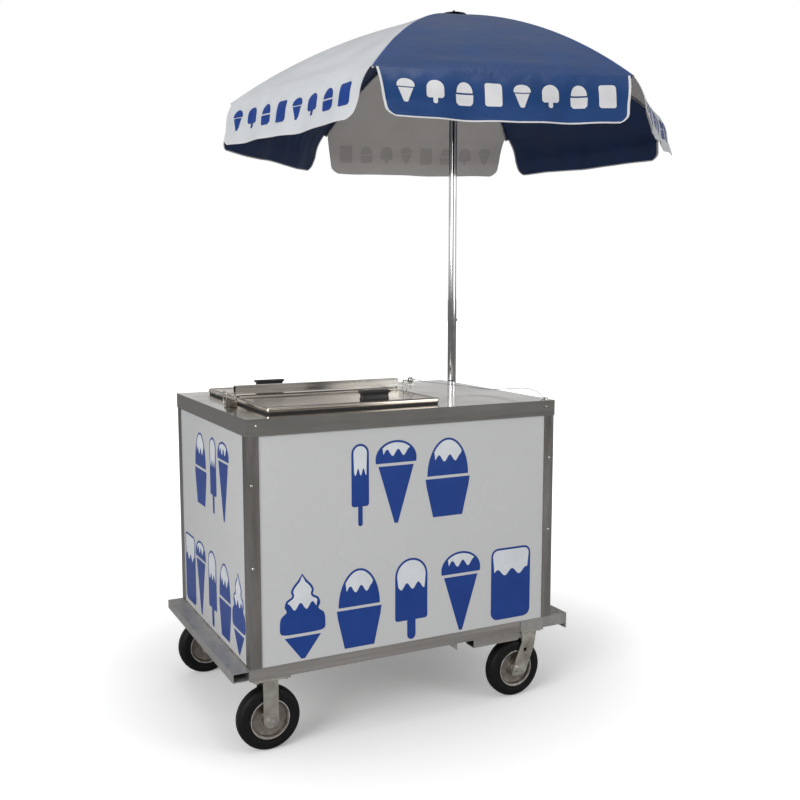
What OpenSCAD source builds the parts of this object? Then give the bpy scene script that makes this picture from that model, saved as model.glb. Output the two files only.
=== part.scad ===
// Push vending cart: an insulated cold box on a welded tube frame, with two rigid and two
// swivel casters, a pair of flip lids under a lock bar, and a folding six-rib umbrella.
// Millimetres. The origin is on the floor under the middle of the body. +X runs along the
// long front side towards the swivel casters, +Y to the back and +Z up.

/* [Body] */
// Width of the body along its front
body_w = 1100; // [1000:10:1400]
// Depth of the body from front to back
body_d = 790; // [740:10:1000]
// Height of the deck above the floor
deck_h = 1045; // [850:5:1250]
// Thickness of the side panels
panel_t = 6; // [3:0.5:12]
// Width of a corner post's leg
post_leg = 38; // [25:1:60]
// Thickness of a corner post
post_t = 2.5; // [1.5:0.5:4]
// Thickness of the deck sheet
deck_t = 2; // [1:0.5:4]
// Height of the deck's folded skirt
skirt_h = 52; // [30:1:80]
// Thickness of the skirt
skirt_t = 1.5; // [1:0.5:3]

/* [Frame] */
// Height of the top of the base frame
rail_top = 280; // [270:5:400]
// Side of the square frame tube
rail_s = 38; // [30:1:50]
// Wall of the frame and bumper tubes
rail_wall = 2; // [1.5:0.5:4]
// Width and height of the left bumper tube
left_bumper = [55, 30]; // [20:1:80]
// How far the right bumper stands out from the body
right_bumper_out = 70; // [40:1:120]
// Depth of the right bumper's hanging flange
flange_h = 54; // [40:1:70]
// Thickness of the right bumper's angle
flange_t = 5; // [3:1:8]
// Where the front rail ends and the right bumper's leg begins, from the body's right end
seam_in = 125; // [110:1:180]
// Width, height and length of the channel in front of each swivel caster
channel = [50, 28, 185]; // [20:1:250]

/* [Casters] */
// Diameter of a wheel
wheel_d = 203.2; // [180:0.1:230]
// Width of a wheel
wheel_w = 50.8; // [40:0.1:60]
// Thickness of the rubber round the hub
tyre_t = 38.6; // [27:0.1:45]
// How far the wheels' middle lies inside the body's front and back
wheel_in = 48; // [45:1:80]
// How far the rigid wheels stand in from the body's left end
rigid_in = 70; // [50:1:150]
// How far the swivel axes stand in from the body's right end
swivel_in = 78; // [70:1:85]
// How far a swivel wheel trails behind its swivel axis
trail = 48; // [30:1:60]
// Diameter of an axle bolt
axle_d = 12; // [8:1:16]

/* [Cold store] */
// Thickness of the insulation at the walls
insulation_t = 70; // [40:1:100]
// Thickness of the insulation under the store
insulation_floor = 88; // [60:1:120]
// Wall of the liner
liner_t = 1.5; // [1:0.5:3]
// Thickness of a cold plate
cold_plate_t = 25; // [15:1:40]

/* [Lids] */
// Length of a lid along X
lid_l = 604; // [500:1:800]
// Depth of a lid along Y
lid_d = 304; // [250:1:330]
// Thickness of a lid
lid_t = 15; // [10:1:25]
// Where the lids' middle lies along X
lid_x = -156; // [-180:1:-120]
// Gap between the two lids
lid_gap = 28; // [27:1:40]
// Height of the lock bar
bar_h = 27; // [20:1:40]
// Width of the lock bar
bar_w = 24; // [20:1:26]
// How far the bar stands above the lids
bar_lift = 11; // [8:1:25]
// Length of a handle's foot
handle_l = 100; // [60:1:140]
// Height of a handle
handle_h = 28; // [15:1:28]

/* [Umbrella] */
// Where the pole stands along X, outside the body's right end
pole_out = 32; // [30:1:34]
// Where the pole stands along Y, inside the body's back
pole_in = 30; // [28:1:34]
// Diameter of the lower pole
pole_d = 35; // [32:1:38]
// Diameter of the upper pole
upper_d = 32; // [28:1:33]
// Height of the lower pole's top end
lower_top = 1376; // [1300:1:1450]
// Height of the ribs' pivots
rib_z = 2484; // [2300:1:2600]
// Distance from the pole's axis to the ribs' tips
tip_r = 870; // [700:1:1000]
// How far the ribs' tips lie below their pivots
tip_drop = 360; // [300:1:450]
// How far a rib bends over its length, in degrees
rib_bend = 25; // [10:1:30]
// Direction of the first rib, in degrees from +X
rib_turn = -137; // [-180:1:180]
// Length of a stretcher between its pivots
stretcher_l = 460; // [440:1:480]
// Depth of the fabric valance
valance_h = 175; // [100:1:220]
// How far the valance leans out from hanging straight down, in degrees
valance_lean = 20; // [0:1:30]

/* [Hidden] */
$fn = 72;

// Clearances: between pieces that only pass, and round a pin that turns
gap = 0.3;
fit = 0.05;
// Overshoot of a cut past the surface that it opens
cut = 1;

half_w = body_w / 2;
half_d = body_d / 2;
rail_bottom = rail_top - rail_s;
deck_under = deck_h - deck_t;
panel_out_x = half_w - post_t;
panel_out_y = half_d - post_t;
panel_in_x = panel_out_x - panel_t;
panel_in_y = panel_out_y - panel_t;
deck_edge = 0.5;
skirt_out = deck_edge + skirt_t;
seam_x = half_w - seam_in;
rigid_x = rigid_in - half_w;
swivel_x = half_w - swivel_in;
hub_r = wheel_d / 2 - tyre_t;
right_end = half_w + right_bumper_out;

// Frame: the second pair of long rails and the cross members
inner_rail_y = half_d - wheel_in - 29;
cross_x = [rigid_x + 80, seam_x - 25];

// Floor pan, insulation, liner and cold plates
pan_t = 2;
pan_top = rail_top + pan_t;
slack = 0.5;
store_x = panel_in_x - slack - insulation_t - liner_t;
store_y = panel_in_y - slack - insulation_t - liner_t;
store_floor = pan_top + insulation_floor + liner_t;
liner_top = deck_under - liner_t;
liner_lip = 12;
cold_plate_h = 630;
cold_plate_y = 560;

// Lids, and the openings in the deck under them
gasket_t = 5.7;
gasket_w = 12;
lid_bottom = deck_h + gap + gasket_t;
lid_top = lid_bottom + lid_t;
lid_corner = 10;
lid_in = lid_gap / 2;
opening_margin = 18;
opening_l = lid_l - 2 * opening_margin;
opening_d = lid_d - 2 * opening_margin + 6;
opening_y = lid_in + lid_d / 2 - 3;
opening_corner = 20;
hinge_r = 4;
hinge_pin_r = 2;
hinge_y = lid_in + 2;
hinge_lug_w = 20;
hinge_lug_x = [-0.44, 0, 0.44] * lid_l;
strip_t = 3;
strip_w = 22;
handle_foot = 22;
handle_flare = 6;
handle_side = 93;
handle_y = lid_in + lid_d * 0.775;

// Lock bar and what holds its ends
bar_bottom = lid_top + bar_lift;
bar_top = bar_bottom + bar_h;
bar_l = lid_l;
bar_wall = 2;
tongue_t = 3;
tongue_w = 20;
tongue_l = 64;
staple_rod = 2.5;
staple_half = 15;
staple_out = [34, 32];
staple_rise = [6, 14];
pin_out = 54;
pin_r = 3;
knob_r = 10.5;

// Padlock, lying on the deck with its shackle round the left staple's front leg
lock_rod = 3;
lock_loop = 7;
lock_size = [29, 34, 20];
shackle_l = 48;

// Small triangular tab on each long rail, between the channel and the box's middle
tab_x = half_w - 410;
tab = [35, 25, 3];

// Casters
wheel_y = half_d - wheel_in;
axle_z = wheel_d / 2;
axle_r = axle_d / 2;
leg_t = 4;
leg_in = wheel_w / 2 + 3.6;
plate_t = 6;
plate_y = 100;
rigid_plate_x = 119;
swivel_plate_x = 92;
leg_w = 49;
race_r = 38;
race_t = 5.7;
crown_t = 6;
kingpin_r = 9;
kingpin_head = [14, 8];
hub_side = 28.5;
bolt_r = 5;
bolt_head = [8, 5];
bolt_in = 12;
swivel_plate_shift = 2;

// Umbrella pole and its holder
pole_x = half_w + pole_out;
pole_y = half_d - pole_in;
pole_r = pole_d / 2;
upper_r = upper_d / 2;
slide_fit = 0.1;
holder_r = pole_r + 4.5;
holder_base = 4;
holder_top = 430;
ring_z = [895, 930];
pole_bottom = rail_top + holder_base + gap;
upper_bottom = lower_top - 176;
clamp_z = lower_top - 83;
clamp_turn = -35;
clamp_r = 4;

// Umbrella ribs: each is a bar bent to an arc, pivoted on the crown
rib_count = 6;
rib_step = 360 / rib_count;
pivot_r = 32;
rib_size = 6;
chord_x = tip_r - pivot_r;
chord = norm([chord_x, tip_drop]);
rib_arc_r = chord / (2 * sin(rib_bend / 2));
root_slope = atan(tip_drop / chord_x) - rib_bend / 2;
arc_r0 = pivot_r - rib_arc_r * sin(root_slope);
arc_z0 = rib_z - rib_arc_r * cos(root_slope);
small_pin = 2;
eye_r = 4.2;
joint_slope = root_slope + 12;
joint_off = -10;
joint_at = arc_point(joint_slope, joint_off);
bar_t = 4;
bar_deep = 8;
cheek_t = 2;
runner_pivot_r = 26;
runner_r = 32;
runner_core = 20.5;
runner_h = 34;
runner_z = joint_at[1] - sqrt(pow(stretcher_l, 2) - pow(joint_at[0] - runner_pivot_r, 2));
stretcher_slope = asin((joint_at[1] - runner_z) / stretcher_l);
crown_r = 38;
crown_core = 22;
crown_below = 12;
crown_above = 1.5;
slot_play = 0.5;
cap_r = 50;
finial_r = 12;

// Canopy: an even shell over the ribs, with a hanging flap on each side
cloth_gap = 2.6;
cloth_t = 2;
canopy_in = rib_size / 2 + cloth_gap;
canopy_out = canopy_in + cloth_t;
canopy_steps = 8;
canopy_start = asin((upper_r + 5 - arc_r0) / rib_arc_r);
canopy_end = root_slope + rib_bend + 0.15;
flap_gap = 12;
flap_slant = 25;
edge_at = arc_point(canopy_end, canopy_out);

// Lanyard: a thin steel wire rope from the lock pin's knob to the deck's front right corner
wire_d = 2.4;
wire_sides = 8;
wire_steps = 5;
ferrule = [2.5, 10];
wire_route = [
    [219, 0, 1095], [236, 1, 1092], [262, 3, 1085], [310, 8, 1078], [360, 8, 1071],
    [405, -10, 1065], [437, -48, 1060], [466, -100, 1058], [492, -156, 1062], [512, -212, 1069],
    [526, -262, 1073], [534, -298, 1069], [539, -322, 1060], [541, -338, 1050], [541, -350, 1048]
];

// ---- shared shapes ----

module block(lo, hi) {
    translate(lo) cube(hi - lo);
}

module rod_x(x0, x1, r) {
    translate([x0, 0, 0]) rotate([0, 90, 0]) cylinder(r = r, h = x1 - x0);
}

module rod_y(y0, y1, r) {
    translate([0, y0, 0]) rotate([-90, 0, 0]) cylinder(r = r, h = y1 - y0);
}

// A slab with its four upright corners rounded, centred on x and y, from z0 to z1
module rounded_slab(l, d, r, z0, z1) {
    block([-l / 2 + r, -d / 2, z0], [l / 2 - r, d / 2, z1]);
    block([-l / 2, -d / 2 + r, z0], [l / 2, d / 2 - r, z1]);
    for (x = [-1, 1])
        for (y = [-1, 1])
            translate([x * (l / 2 - r), y * (d / 2 - r), z0]) cylinder(r = r, h = z1 - z0);
}

// The same piece at the front and at the back, mirrored
module front_and_back() {
    children();
    mirror([0, 1, 0]) children();
}

// The middle line of a rib: slope runs from the root to the tip, off is measured outwards
function arc_point(slope, off) = [
    arc_r0 + (rib_arc_r + off) * sin(slope),
    arc_z0 + (rib_arc_r + off) * cos(slope)
];

// ---- frame and body ----

// Rails run full length at front and back; the others butt between them
module rail_box(inset, over) {
    z = [rail_bottom + inset, rail_top - inset];
    y_out = half_d - rail_s / 2;
    h = rail_s / 2 - inset;
    for (y = [-y_out, y_out]) block([-half_w - over, y - h, z[0]], [seam_x + over, y + h, z[1]]);
    for (x = [-half_w + rail_s / 2, half_w - rail_s / 2])
        block([x - h, -y_out + rail_s / 2 - over, z[0]], [x + h, y_out - rail_s / 2 + over, z[1]]);
    for (y = [-inner_rail_y, inner_rail_y])
        block([-half_w + rail_s - over, y - h, z[0]], [half_w - rail_s + over, y + h, z[1]]);
    for (x = cross_x)
        block([x - h, -y_out + rail_s / 2 - over, z[0]], [x + h, y_out - rail_s / 2 + over, z[1]]);
}

module base_frame() {
    color("silver") difference() {
        rail_box(0, 0);
        rail_box(rail_wall, rail_wall + cut);
    }
}

module bumper_left() {
    top = rail_top - rail_wall;
    x0 = -half_w - left_bumper[0];
    w = rail_wall + 1;
    color("gray") difference() {
        block([x0, -half_d + 1, top - left_bumper[1]], [-half_w, half_d - 1, top]);
        block([x0 + w, -half_d, top - left_bumper[1] + w], [-half_w - w, half_d, top - w]);
    }
}

module bumper_right_leg() {
    end = right_end - flange_t;
    w = rail_wall;
    difference() {
        block([seam_x, -half_d, rail_bottom], [end + cut, -half_d + rail_s, rail_top]);
        block([seam_x - cut, -half_d + w, rail_bottom + w], [end, -half_d + rail_s - w, rail_top - w]);
    }
}

module bumper_right() {
    color("silver") {
        front_and_back() bumper_right_leg();
        block([right_end - flange_t, -half_d, rail_top - flange_h], [right_end, half_d, rail_top]);
        block([half_w + 15, -half_d + rail_s - cut, rail_top - flange_t],
              [right_end, half_d - rail_s + cut, rail_top]);
    }
}

// Open channel under each long rail, just in front of the swivel caster's plate
module caster_channels() {
    w = 3;
    x1 = seam_x - 2;
    x0 = x1 - channel[2];
    bottom = rail_bottom - channel[1];
    color("lightgray") front_and_back() difference() {
        block([x0, -half_d + 1, bottom], [x1, -half_d + 1 + channel[0], rail_bottom]);
        block([x0 - cut, -half_d + 1 + w, bottom + w],
              [x1 - w, -half_d + 1 + channel[0] - w, rail_bottom - w]);
        translate([x1, 0, bottom]) rotate([0, 45, 0]) cube([12, body_d * 2, 12], center = true);
    }
    color("lightgray") front_and_back()
        translate([tab_x, -half_d + 4 + tab[2], rail_bottom]) rotate([90, 0, 0])
            linear_extrude(height = tab[2]) polygon([[0, 0], [tab[0], -tab[1]], [tab[0], 0]]);
}

module floor_pan() {
    color("silver")
        block([-panel_in_x + slack, -panel_in_y + slack, rail_top],
              [panel_in_x - slack, panel_in_y - slack, pan_top]);
}

module corner_post() {
    block([-half_w, -half_d, rail_top], [-half_w + post_leg, -half_d + post_t, deck_under]);
    block([-half_w, -half_d, rail_top], [-half_w + post_t, -half_d + post_leg, deck_under]);
}

module corner_posts() {
    color("silver") front_and_back() {
        corner_post();
        mirror([1, 0, 0]) corner_post();
    }
}

module long_panel() {
    block([-panel_out_x, -panel_out_y, rail_top], [panel_out_x, -panel_in_y, deck_under]);
}

module end_panel() {
    block([-panel_out_x, -panel_in_y, rail_top], [-panel_in_x, panel_in_y, deck_under]);
}

module panel_front() {
    color("white") long_panel();
}

module panel_back() {
    color("white") mirror([0, 1, 0]) long_panel();
}

module panel_left() {
    color("white") end_panel();
}

module panel_right() {
    color("white") mirror([1, 0, 0]) end_panel();
}

module insulation() {
    x = panel_in_x - slack;
    y = panel_in_y - slack;
    xi = store_x + liner_t;
    yi = store_y + liner_t;
    color("khaki") difference() {
        block([-x, -y, pan_top], [x, y, liner_top]);
        block([-xi, -yi, store_floor - liner_t], [xi, yi, liner_top + cut]);
    }
}

module liner() {
    xo = store_x + liner_t;
    yo = store_y + liner_t;
    color("whitesmoke") difference() {
        union() {
            block([-xo, -yo, store_floor - liner_t], [xo, yo, deck_under]);
            block([-xo - liner_lip, -yo - liner_lip, liner_top],
                  [xo + liner_lip, yo + liner_lip, deck_under]);
        }
        block([-store_x, -store_y, store_floor], [store_x, store_y, deck_under + cut]);
    }
}

module cold_plates() {
    color("silver") for (side = [0, 1])
        mirror([side, 0, 0])
            block([-store_x, -cold_plate_y / 2, store_floor],
                  [-store_x + cold_plate_t, cold_plate_y / 2, store_floor + cold_plate_h]);
}

module deck() {
    x = half_w + deck_edge;
    y = half_d + deck_edge;
    color("silver") difference() {
        block([-x - skirt_t, -y - skirt_t, deck_h - skirt_h], [x + skirt_t, y + skirt_t, deck_h]);
        block([-x, -y, deck_h - skirt_h - cut], [x, y, deck_under]);
        for (side = [-1, 1])
            translate([lid_x, side * opening_y, 0])
                rounded_slab(opening_l, opening_d, opening_corner, deck_under - cut, deck_h + cut);
    }
}

// A dome-headed screw or rivet on a face that looks along -Y
module dome_head(x, z, y_face, r, proud) {
    dome = (r * r + proud * proud) / (2 * proud);
    translate([x, y_face, z]) intersection() {
        translate([0, dome - proud, 0]) sphere(r = dome);
        rotate([90, 0, 0]) cylinder(r = r + cut, h = proud + cut);
    }
}

module caster_bolts(x0, length) {
    for (x = [-1, 1])
        for (y = [-1, 1])
            translate([x0 + x * (length / 2 - bolt_in), -wheel_y + y * (plate_y / 2 - bolt_in), 0]) {
                translate([0, 0, rail_bottom - plate_t]) cylinder(r = bolt_r, h = plate_t);
                translate([0, 0, rail_bottom - plate_t - bolt_head[1]])
                    cylinder(r = bolt_head[0], h = bolt_head[1], $fn = 6);
            }
}

module fasteners() {
    post_x = half_w - 15;
    screw_z = [deck_h * 0.567, deck_h * 0.809];
    color("gainsboro") {
        front_and_back() {
            for (side = [-1, 1]) {
                for (z = screw_z) dome_head(side * post_x, z, -half_d, 4.5, 2.2);
                dome_head(side * (half_w - 31), deck_h - 21, -half_d - skirt_out, 4, 2);
            }
            caster_bolts(rigid_x, rigid_plate_x);
            caster_bolts(swivel_x + swivel_plate_shift, swivel_plate_x);
        }
        translate([wire_route[14][0], wire_route[14][1], wire_route[14][2]])
            rotate([90, 0, 0]) cylinder(r = ferrule[0], h = ferrule[1]);
        translate([wire_route[14][0], wire_route[14][1] - ferrule[1] - 3, deck_h])
            cylinder(r = 5, h = wire_route[14][2] - deck_h + ferrule[0]);
    }
}

// ---- lids ----

// Strip between the lids, riveted to the deck, whose lugs hold the two hinge rods
module hinge_strip() {
    color("silver") {
        translate([lid_x, 0, 0])
            block([-lid_l / 2 + 6, -strip_w / 2, deck_h], [lid_l / 2 - 6, strip_w / 2, deck_h + strip_t]);
        translate([lid_x, 0, 0]) front_and_back() {
            translate([0, -hinge_y, lid_top]) rod_x(-lid_l / 2 + 8, lid_l / 2 - 8, hinge_pin_r);
            for (x = hinge_lug_x) {
                translate([0, -hinge_y, lid_top])
                    rod_x(x - hinge_lug_w / 2, x + hinge_lug_w / 2, hinge_r);
                block([x - hinge_lug_w / 2, -hinge_y, deck_h + strip_t - cut],
                      [x + hinge_lug_w / 2, -strip_w / 2 + 2, lid_top]);
            }
        }
    }
}

// The front lid; the rear one is the same lid turned round
module lid_shape() {
    notch = hinge_lug_w + 2 * slack;
    difference() {
        union() {
            translate([0, -lid_in - lid_d / 2, 0])
                rounded_slab(lid_l, lid_d, lid_corner, lid_bottom, lid_top);
            translate([0, -hinge_y, lid_top]) rod_x(-lid_l / 2 + lid_corner, lid_l / 2 - lid_corner, hinge_r);
        }
        translate([0, -hinge_y, lid_top]) rod_x(-lid_l, lid_l, hinge_pin_r + fit);
        for (x = hinge_lug_x)
            block([x - notch / 2, -hinge_y - hinge_r - 2, lid_bottom - cut],
                  [x + notch / 2, 0, lid_top + hinge_r + cut]);
    }
}

// A moulded grip: a narrow web between a flared foot and a flared top
module handle_shape() {
    translate([handle_side, -handle_y, lid_top]) {
        block([-handle_l / 2, -handle_foot / 2, 0], [handle_l / 2, handle_foot / 2, handle_h - 4]);
        block([-handle_l / 2 - handle_flare, -handle_foot / 2 - 3, handle_h - 4],
              [handle_l / 2 + handle_flare, handle_foot / 2 + 3, handle_h]);
    }
}

module gasket_shape() {
    z0 = deck_h + gap;
    translate([0, -lid_in - lid_d / 2, 0]) difference() {
        rounded_slab(lid_l - 6, lid_d - 6, lid_corner, z0, lid_bottom);
        rounded_slab(lid_l - 6 - 2 * gasket_w, lid_d - 6 - 2 * gasket_w, lid_corner,
                     z0 - cut, lid_bottom + cut);
    }
}

module at_front_lid() {
    translate([lid_x, 0, 0]) children();
}

module at_rear_lid() {
    translate([lid_x, 0, 0]) rotate([0, 0, 180]) children();
}

module lid_front() {
    color("silver") at_front_lid() lid_shape();
}

module lid_rear() {
    color("silver") at_rear_lid() lid_shape();
}

module handle_front() {
    color("dimgray") at_front_lid() handle_shape();
}

module handle_rear() {
    color("dimgray") at_rear_lid() handle_shape();
}

module gasket_front() {
    color("black") at_front_lid() gasket_shape();
}

module gasket_rear() {
    color("black") at_rear_lid() gasket_shape();
}

// Folded channel, open below, on a foot at each end, with a flat tongue past each foot
module lock_bar() {
    half = bar_l / 2;
    h = bar_w / 2;
    color("silver") translate([lid_x, 0, 0]) difference() {
        union() {
            difference() {
                block([-half, -h, bar_bottom], [half, h, bar_top]);
                block([-half - cut, -h + bar_wall, bar_bottom - cut],
                      [half + cut, h - bar_wall, bar_top - bar_wall]);
            }
            for (side = [0, 1]) mirror([side, 0, 0]) {
                block([-half, -h + 1, deck_h + strip_t], [-half + 3, h - 1, bar_bottom + tongue_t]);
                block([-half - tongue_l, -tongue_w / 2, bar_bottom],
                      [-half + 3, tongue_w / 2, bar_bottom + tongue_t]);
            }
            block([-half, -h + 1, deck_h], [-half + 3, h - 1, deck_h + strip_t + cut]);
            block([half - 3, -h + 1, deck_h], [half, h - 1, deck_h + strip_t + cut]);
        }
        translate([half + pin_out, 0, bar_bottom - cut]) cylinder(r = pin_r + fit, h = tongue_t + 2 * cut);
    }
}

// An upright U of round rod with its feet on the deck, astride the bar's tongue
module staple(rise) {
    bend = 5;
    top = bar_bottom + tongue_t + rise;
    for (side = [0, 1]) mirror([0, side, 0]) {
        translate([0, staple_half, deck_h]) cylinder(r = staple_rod, h = top - bend - deck_h);
        translate([0, staple_half - bend, top - bend]) rotate([90, 0, 90])
            rotate_extrude(angle = 90) translate([bend, 0]) circle(r = staple_rod);
    }
    translate([0, 0, top]) rod_y(-staple_half + bend, staple_half - bend, staple_rod);
}

module bar_staples() {
    color("gainsboro") {
        translate([lid_x - bar_l / 2 - staple_out[0], 0, 0]) staple(staple_rise[0]);
        translate([lid_x + bar_l / 2 + staple_out[1], 0, 0]) staple(staple_rise[1]);
    }
}

// Pull pin through the bar's right tongue, with a round knob and the wire's first ferrule
module lock_pin() {
    x = lid_x + bar_l / 2 + pin_out;
    top = bar_bottom + tongue_t;
    color("gainsboro") {
        translate([x, 0, bar_bottom - 14]) cylinder(r = pin_r, h = tongue_t + 14 + 5);
        translate([x, 0, top]) cylinder(r = 6, h = 6);
        translate([x, 0, top + 14]) sphere(r = knob_r);
        translate([0, 0, wire_route[0][2]]) rod_x(x + knob_r - 2, wire_route[0][0], ferrule[0]);
    }
}

// Direction of the wire at a point of its route
function wire_point(i) = wire_route[max(0, min(len(wire_route) - 1, i))];
function wire_at(i, t) = let (
    p0 = wire_point(i - 1), p1 = wire_point(i), p2 = wire_point(i + 1), p3 = wire_point(i + 2)
) 0.5 * (2 * p1 + (p2 - p0) * t + (2 * p0 - 5 * p1 + 4 * p2 - p3) * t * t
    + (3 * p1 - p0 - 3 * p2 + p3) * t * t * t);
function unit(v) = v / norm(v);

// One swept tube: a ring of points at every step along the route, square to the wire
module lanyard() {
    spans = len(wire_route) - 1;
    path = [
        for (i = [0 : spans - 1]) for (s = [0 : wire_steps - 1]) wire_at(i, s / wire_steps),
        wire_point(spans)
    ];
    n = len(path);
    along = [for (i = [0 : n - 1])
        i == 0 ? [1, 0, 0] : i == n - 1 ? [0, -1, 0] : unit(path[i + 1] - path[i - 1])];
    points = [for (i = [0 : n - 1]) for (k = [0 : wire_sides - 1])
        let (side = unit(cross(along[i], [0, 0, 1])), up = cross(side, along[i]),
             a = 360 * k / wire_sides)
        path[i] + wire_d / 2 * (cos(a) * side + sin(a) * up)];
    walls = [for (i = [0 : n - 2]) for (k = [0 : wire_sides - 1])
        let (m = (k + 1) % wire_sides)
        [i * wire_sides + k, (i + 1) * wire_sides + k, (i + 1) * wire_sides + m, i * wire_sides + m]];
    first = [for (k = [0 : wire_sides - 1]) k];
    last = [for (k = [wire_sides - 1 : -1 : 0]) (n - 1) * wire_sides + k];
    color("darkgray") polyhedron(points = points, faces = concat(walls, [first], [last]));
}

module padlock() {
    leg_x = lid_x - bar_l / 2 - staple_out[0];
    z = deck_h + gap + lock_size[2] / 2;
    bow_y = -staple_half - (lock_loop - staple_rod - gap - lock_rod);
    body_y = bow_y - shackle_l + 20;
    color("gainsboro") translate([leg_x, bow_y, z]) {
        rotate_extrude(angle = 180) translate([lock_loop, 0]) circle(r = lock_rod);
        for (side = [-1, 1]) translate([side * lock_loop, 0, 0]) rod_y(-shackle_l + 10, 0, lock_rod);
    }
    color("tan")
        block([leg_x - lock_size[0] / 2, body_y - lock_size[1] - 10, deck_h + gap],
              [leg_x + lock_size[0] / 2, body_y - 10, deck_h + gap + lock_size[2]]);
}

// ---- casters ----

module rigid_fork() {
    translate([rigid_x, -wheel_y, 0]) difference() {
        union() {
            block([-rigid_plate_x / 2, -plate_y / 2, rail_bottom - plate_t],
                  [rigid_plate_x / 2, plate_y / 2, rail_bottom]);
            for (y = [-leg_in - leg_t, leg_in]) {
                block([-leg_w / 2, y, axle_z], [leg_w / 2, y + leg_t, rail_bottom - plate_t]);
                translate([0, 0, axle_z]) rod_y(y, y + leg_t, leg_w / 2);
            }
        }
        translate([0, 0, axle_z]) rod_y(-leg_in * 2, leg_in * 2, axle_r + fit);
        bolt_holes(rigid_plate_x);
    }
}

module bolt_holes(length) {
    for (x = [-1, 1])
        for (y = [-1, 1])
            translate([x * (length / 2 - bolt_in), y * (plate_y / 2 - bolt_in), 0])
                translate([0, 0, rail_bottom - plate_t - cut])
                    cylinder(r = bolt_r + gap, h = plate_t + 2 * cut);
}

module rigid_forks() {
    color("lightgray") front_and_back() rigid_fork();
}

// A bolt through both legs, with a hexagon head outside and a nut inside
module axle_bolt() {
    out = leg_in + leg_t;
    translate([0, 0, axle_z]) {
        rod_y(-out - 1, out + 1, axle_r);
        translate([0, -out - 8, 0]) rotate([-90, 0, 0]) cylinder(r = 10.5, h = 8, $fn = 6);
        translate([0, out, 0]) rotate([-90, 0, 0]) cylinder(r = 10.5, h = 10, $fn = 6);
    }
}

module rigid_axles() {
    color("gainsboro") front_and_back() translate([rigid_x, -wheel_y, 0]) axle_bolt();
}

// Top plate, ball race and kingpin, which the swivelling fork hangs from
module swivel_plate() {
    translate([swivel_x, -wheel_y, 0]) {
        difference() {
            translate([swivel_plate_shift, 0, 0])
                block([-swivel_plate_x / 2, -plate_y / 2, rail_bottom - plate_t],
                      [swivel_plate_x / 2, plate_y / 2, rail_bottom]);
            translate([swivel_plate_shift, 0, 0]) bolt_holes(swivel_plate_x);
        }
        race_z = rail_bottom - plate_t - race_t;
        translate([0, 0, race_z]) cylinder(r = race_r - 12, h = race_t + cut);
        crown_z = race_z - gap - crown_t;
        translate([0, 0, crown_z - gap - kingpin_head[1]])
            cylinder(r = kingpin_head[0], h = kingpin_head[1]);
        translate([0, 0, crown_z - gap - 1]) cylinder(r = kingpin_r, h = race_z - crown_z + gap + 2);
    }
}

module swivel_plates() {
    color("lightgray") front_and_back() swivel_plate();
}

// Raked legs under a round crown; the wheel trails towards -X
module swivel_fork() {
    race_z = rail_bottom - plate_t - race_t;
    top = race_z - gap;
    rise = top - axle_z;
    leg = [
        [-22, -22], [24, -23], [36, -15], [70, 74], [trail + 31, rise], [trail - 31, rise],
        [19, 92], [-6, 30]
    ];
    translate([swivel_x, -wheel_y, 0]) difference() {
        union() {
            translate([0, 0, top - crown_t]) cylinder(r = race_r, h = crown_t);
            block([-31, -leg_in - leg_t, top - crown_t], [31, leg_in + leg_t, top]);
            for (y = [-leg_in, leg_in + leg_t])
                translate([-trail, y, axle_z]) rotate([90, 0, 0])
                    linear_extrude(height = leg_t) polygon(leg);
        }
        cylinder(r = kingpin_r + fit, h = rail_top);
        translate([-trail, 0, axle_z]) rod_y(-leg_in * 2, leg_in * 2, axle_r + fit);
        translate([-trail + 33, 0, axle_z + 66]) cube([12, leg_in * 4, 12], center = true);
    }
}

module swivel_fork_front() {
    color("lightgray") swivel_fork();
}

module swivel_fork_rear() {
    color("lightgray") mirror([0, 1, 0]) swivel_fork();
}

module swivel_axle() {
    translate([swivel_x - trail, -wheel_y, 0]) axle_bolt();
}

module swivel_axle_front() {
    color("gainsboro") swivel_axle();
}

module swivel_axle_rear() {
    color("gainsboro") mirror([0, 1, 0]) swivel_axle();
}

// Solid rubber tread with round shoulders, moulded on the hub
module tyre_shape() {
    shoulder = 14;
    r = wheel_d / 2;
    w = wheel_w / 2;
    rotate([90, 0, 0]) rotate_extrude($fn = 96) {
        translate([hub_r, -w + shoulder]) square([r - hub_r, wheel_w - 2 * shoulder]);
        translate([hub_r, -w]) square([r - shoulder - hub_r, wheel_w]);
        for (side = [-1, 1]) translate([r - shoulder, side * (w - shoulder)]) circle(r = shoulder);
    }
}

// Cast hub: rim, dished web and a long boss bored for the axle
module hub_shape() {
    rim = wheel_w / 2 - 2;
    web = 9;
    boss = 22;
    bore = axle_r + fit;
    rotate([90, 0, 0]) rotate_extrude($fn = 96) polygon([
        [bore, -hub_side], [boss, -hub_side], [boss, -web], [hub_r - 8, -web], [hub_r - 8, -rim],
        [hub_r, -rim], [hub_r, rim], [hub_r - 8, rim], [hub_r - 8, web], [boss, web],
        [boss, hub_side], [bore, hub_side]
    ]);
}

module at_wheel(x, side) {
    translate([x, side * wheel_y, axle_z]) children();
}

module tyre_rigid_front() {
    color("black") at_wheel(rigid_x, -1) tyre_shape();
}

module tyre_rigid_rear() {
    color("black") at_wheel(rigid_x, 1) tyre_shape();
}

module tyre_swivel_front() {
    color("black") at_wheel(swivel_x - trail, -1) tyre_shape();
}

module tyre_swivel_rear() {
    color("black") at_wheel(swivel_x - trail, 1) tyre_shape();
}

module hub_rigid_front() {
    color("gray") at_wheel(rigid_x, -1) hub_shape();
}

module hub_rigid_rear() {
    color("gray") at_wheel(rigid_x, 1) hub_shape();
}

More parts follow.
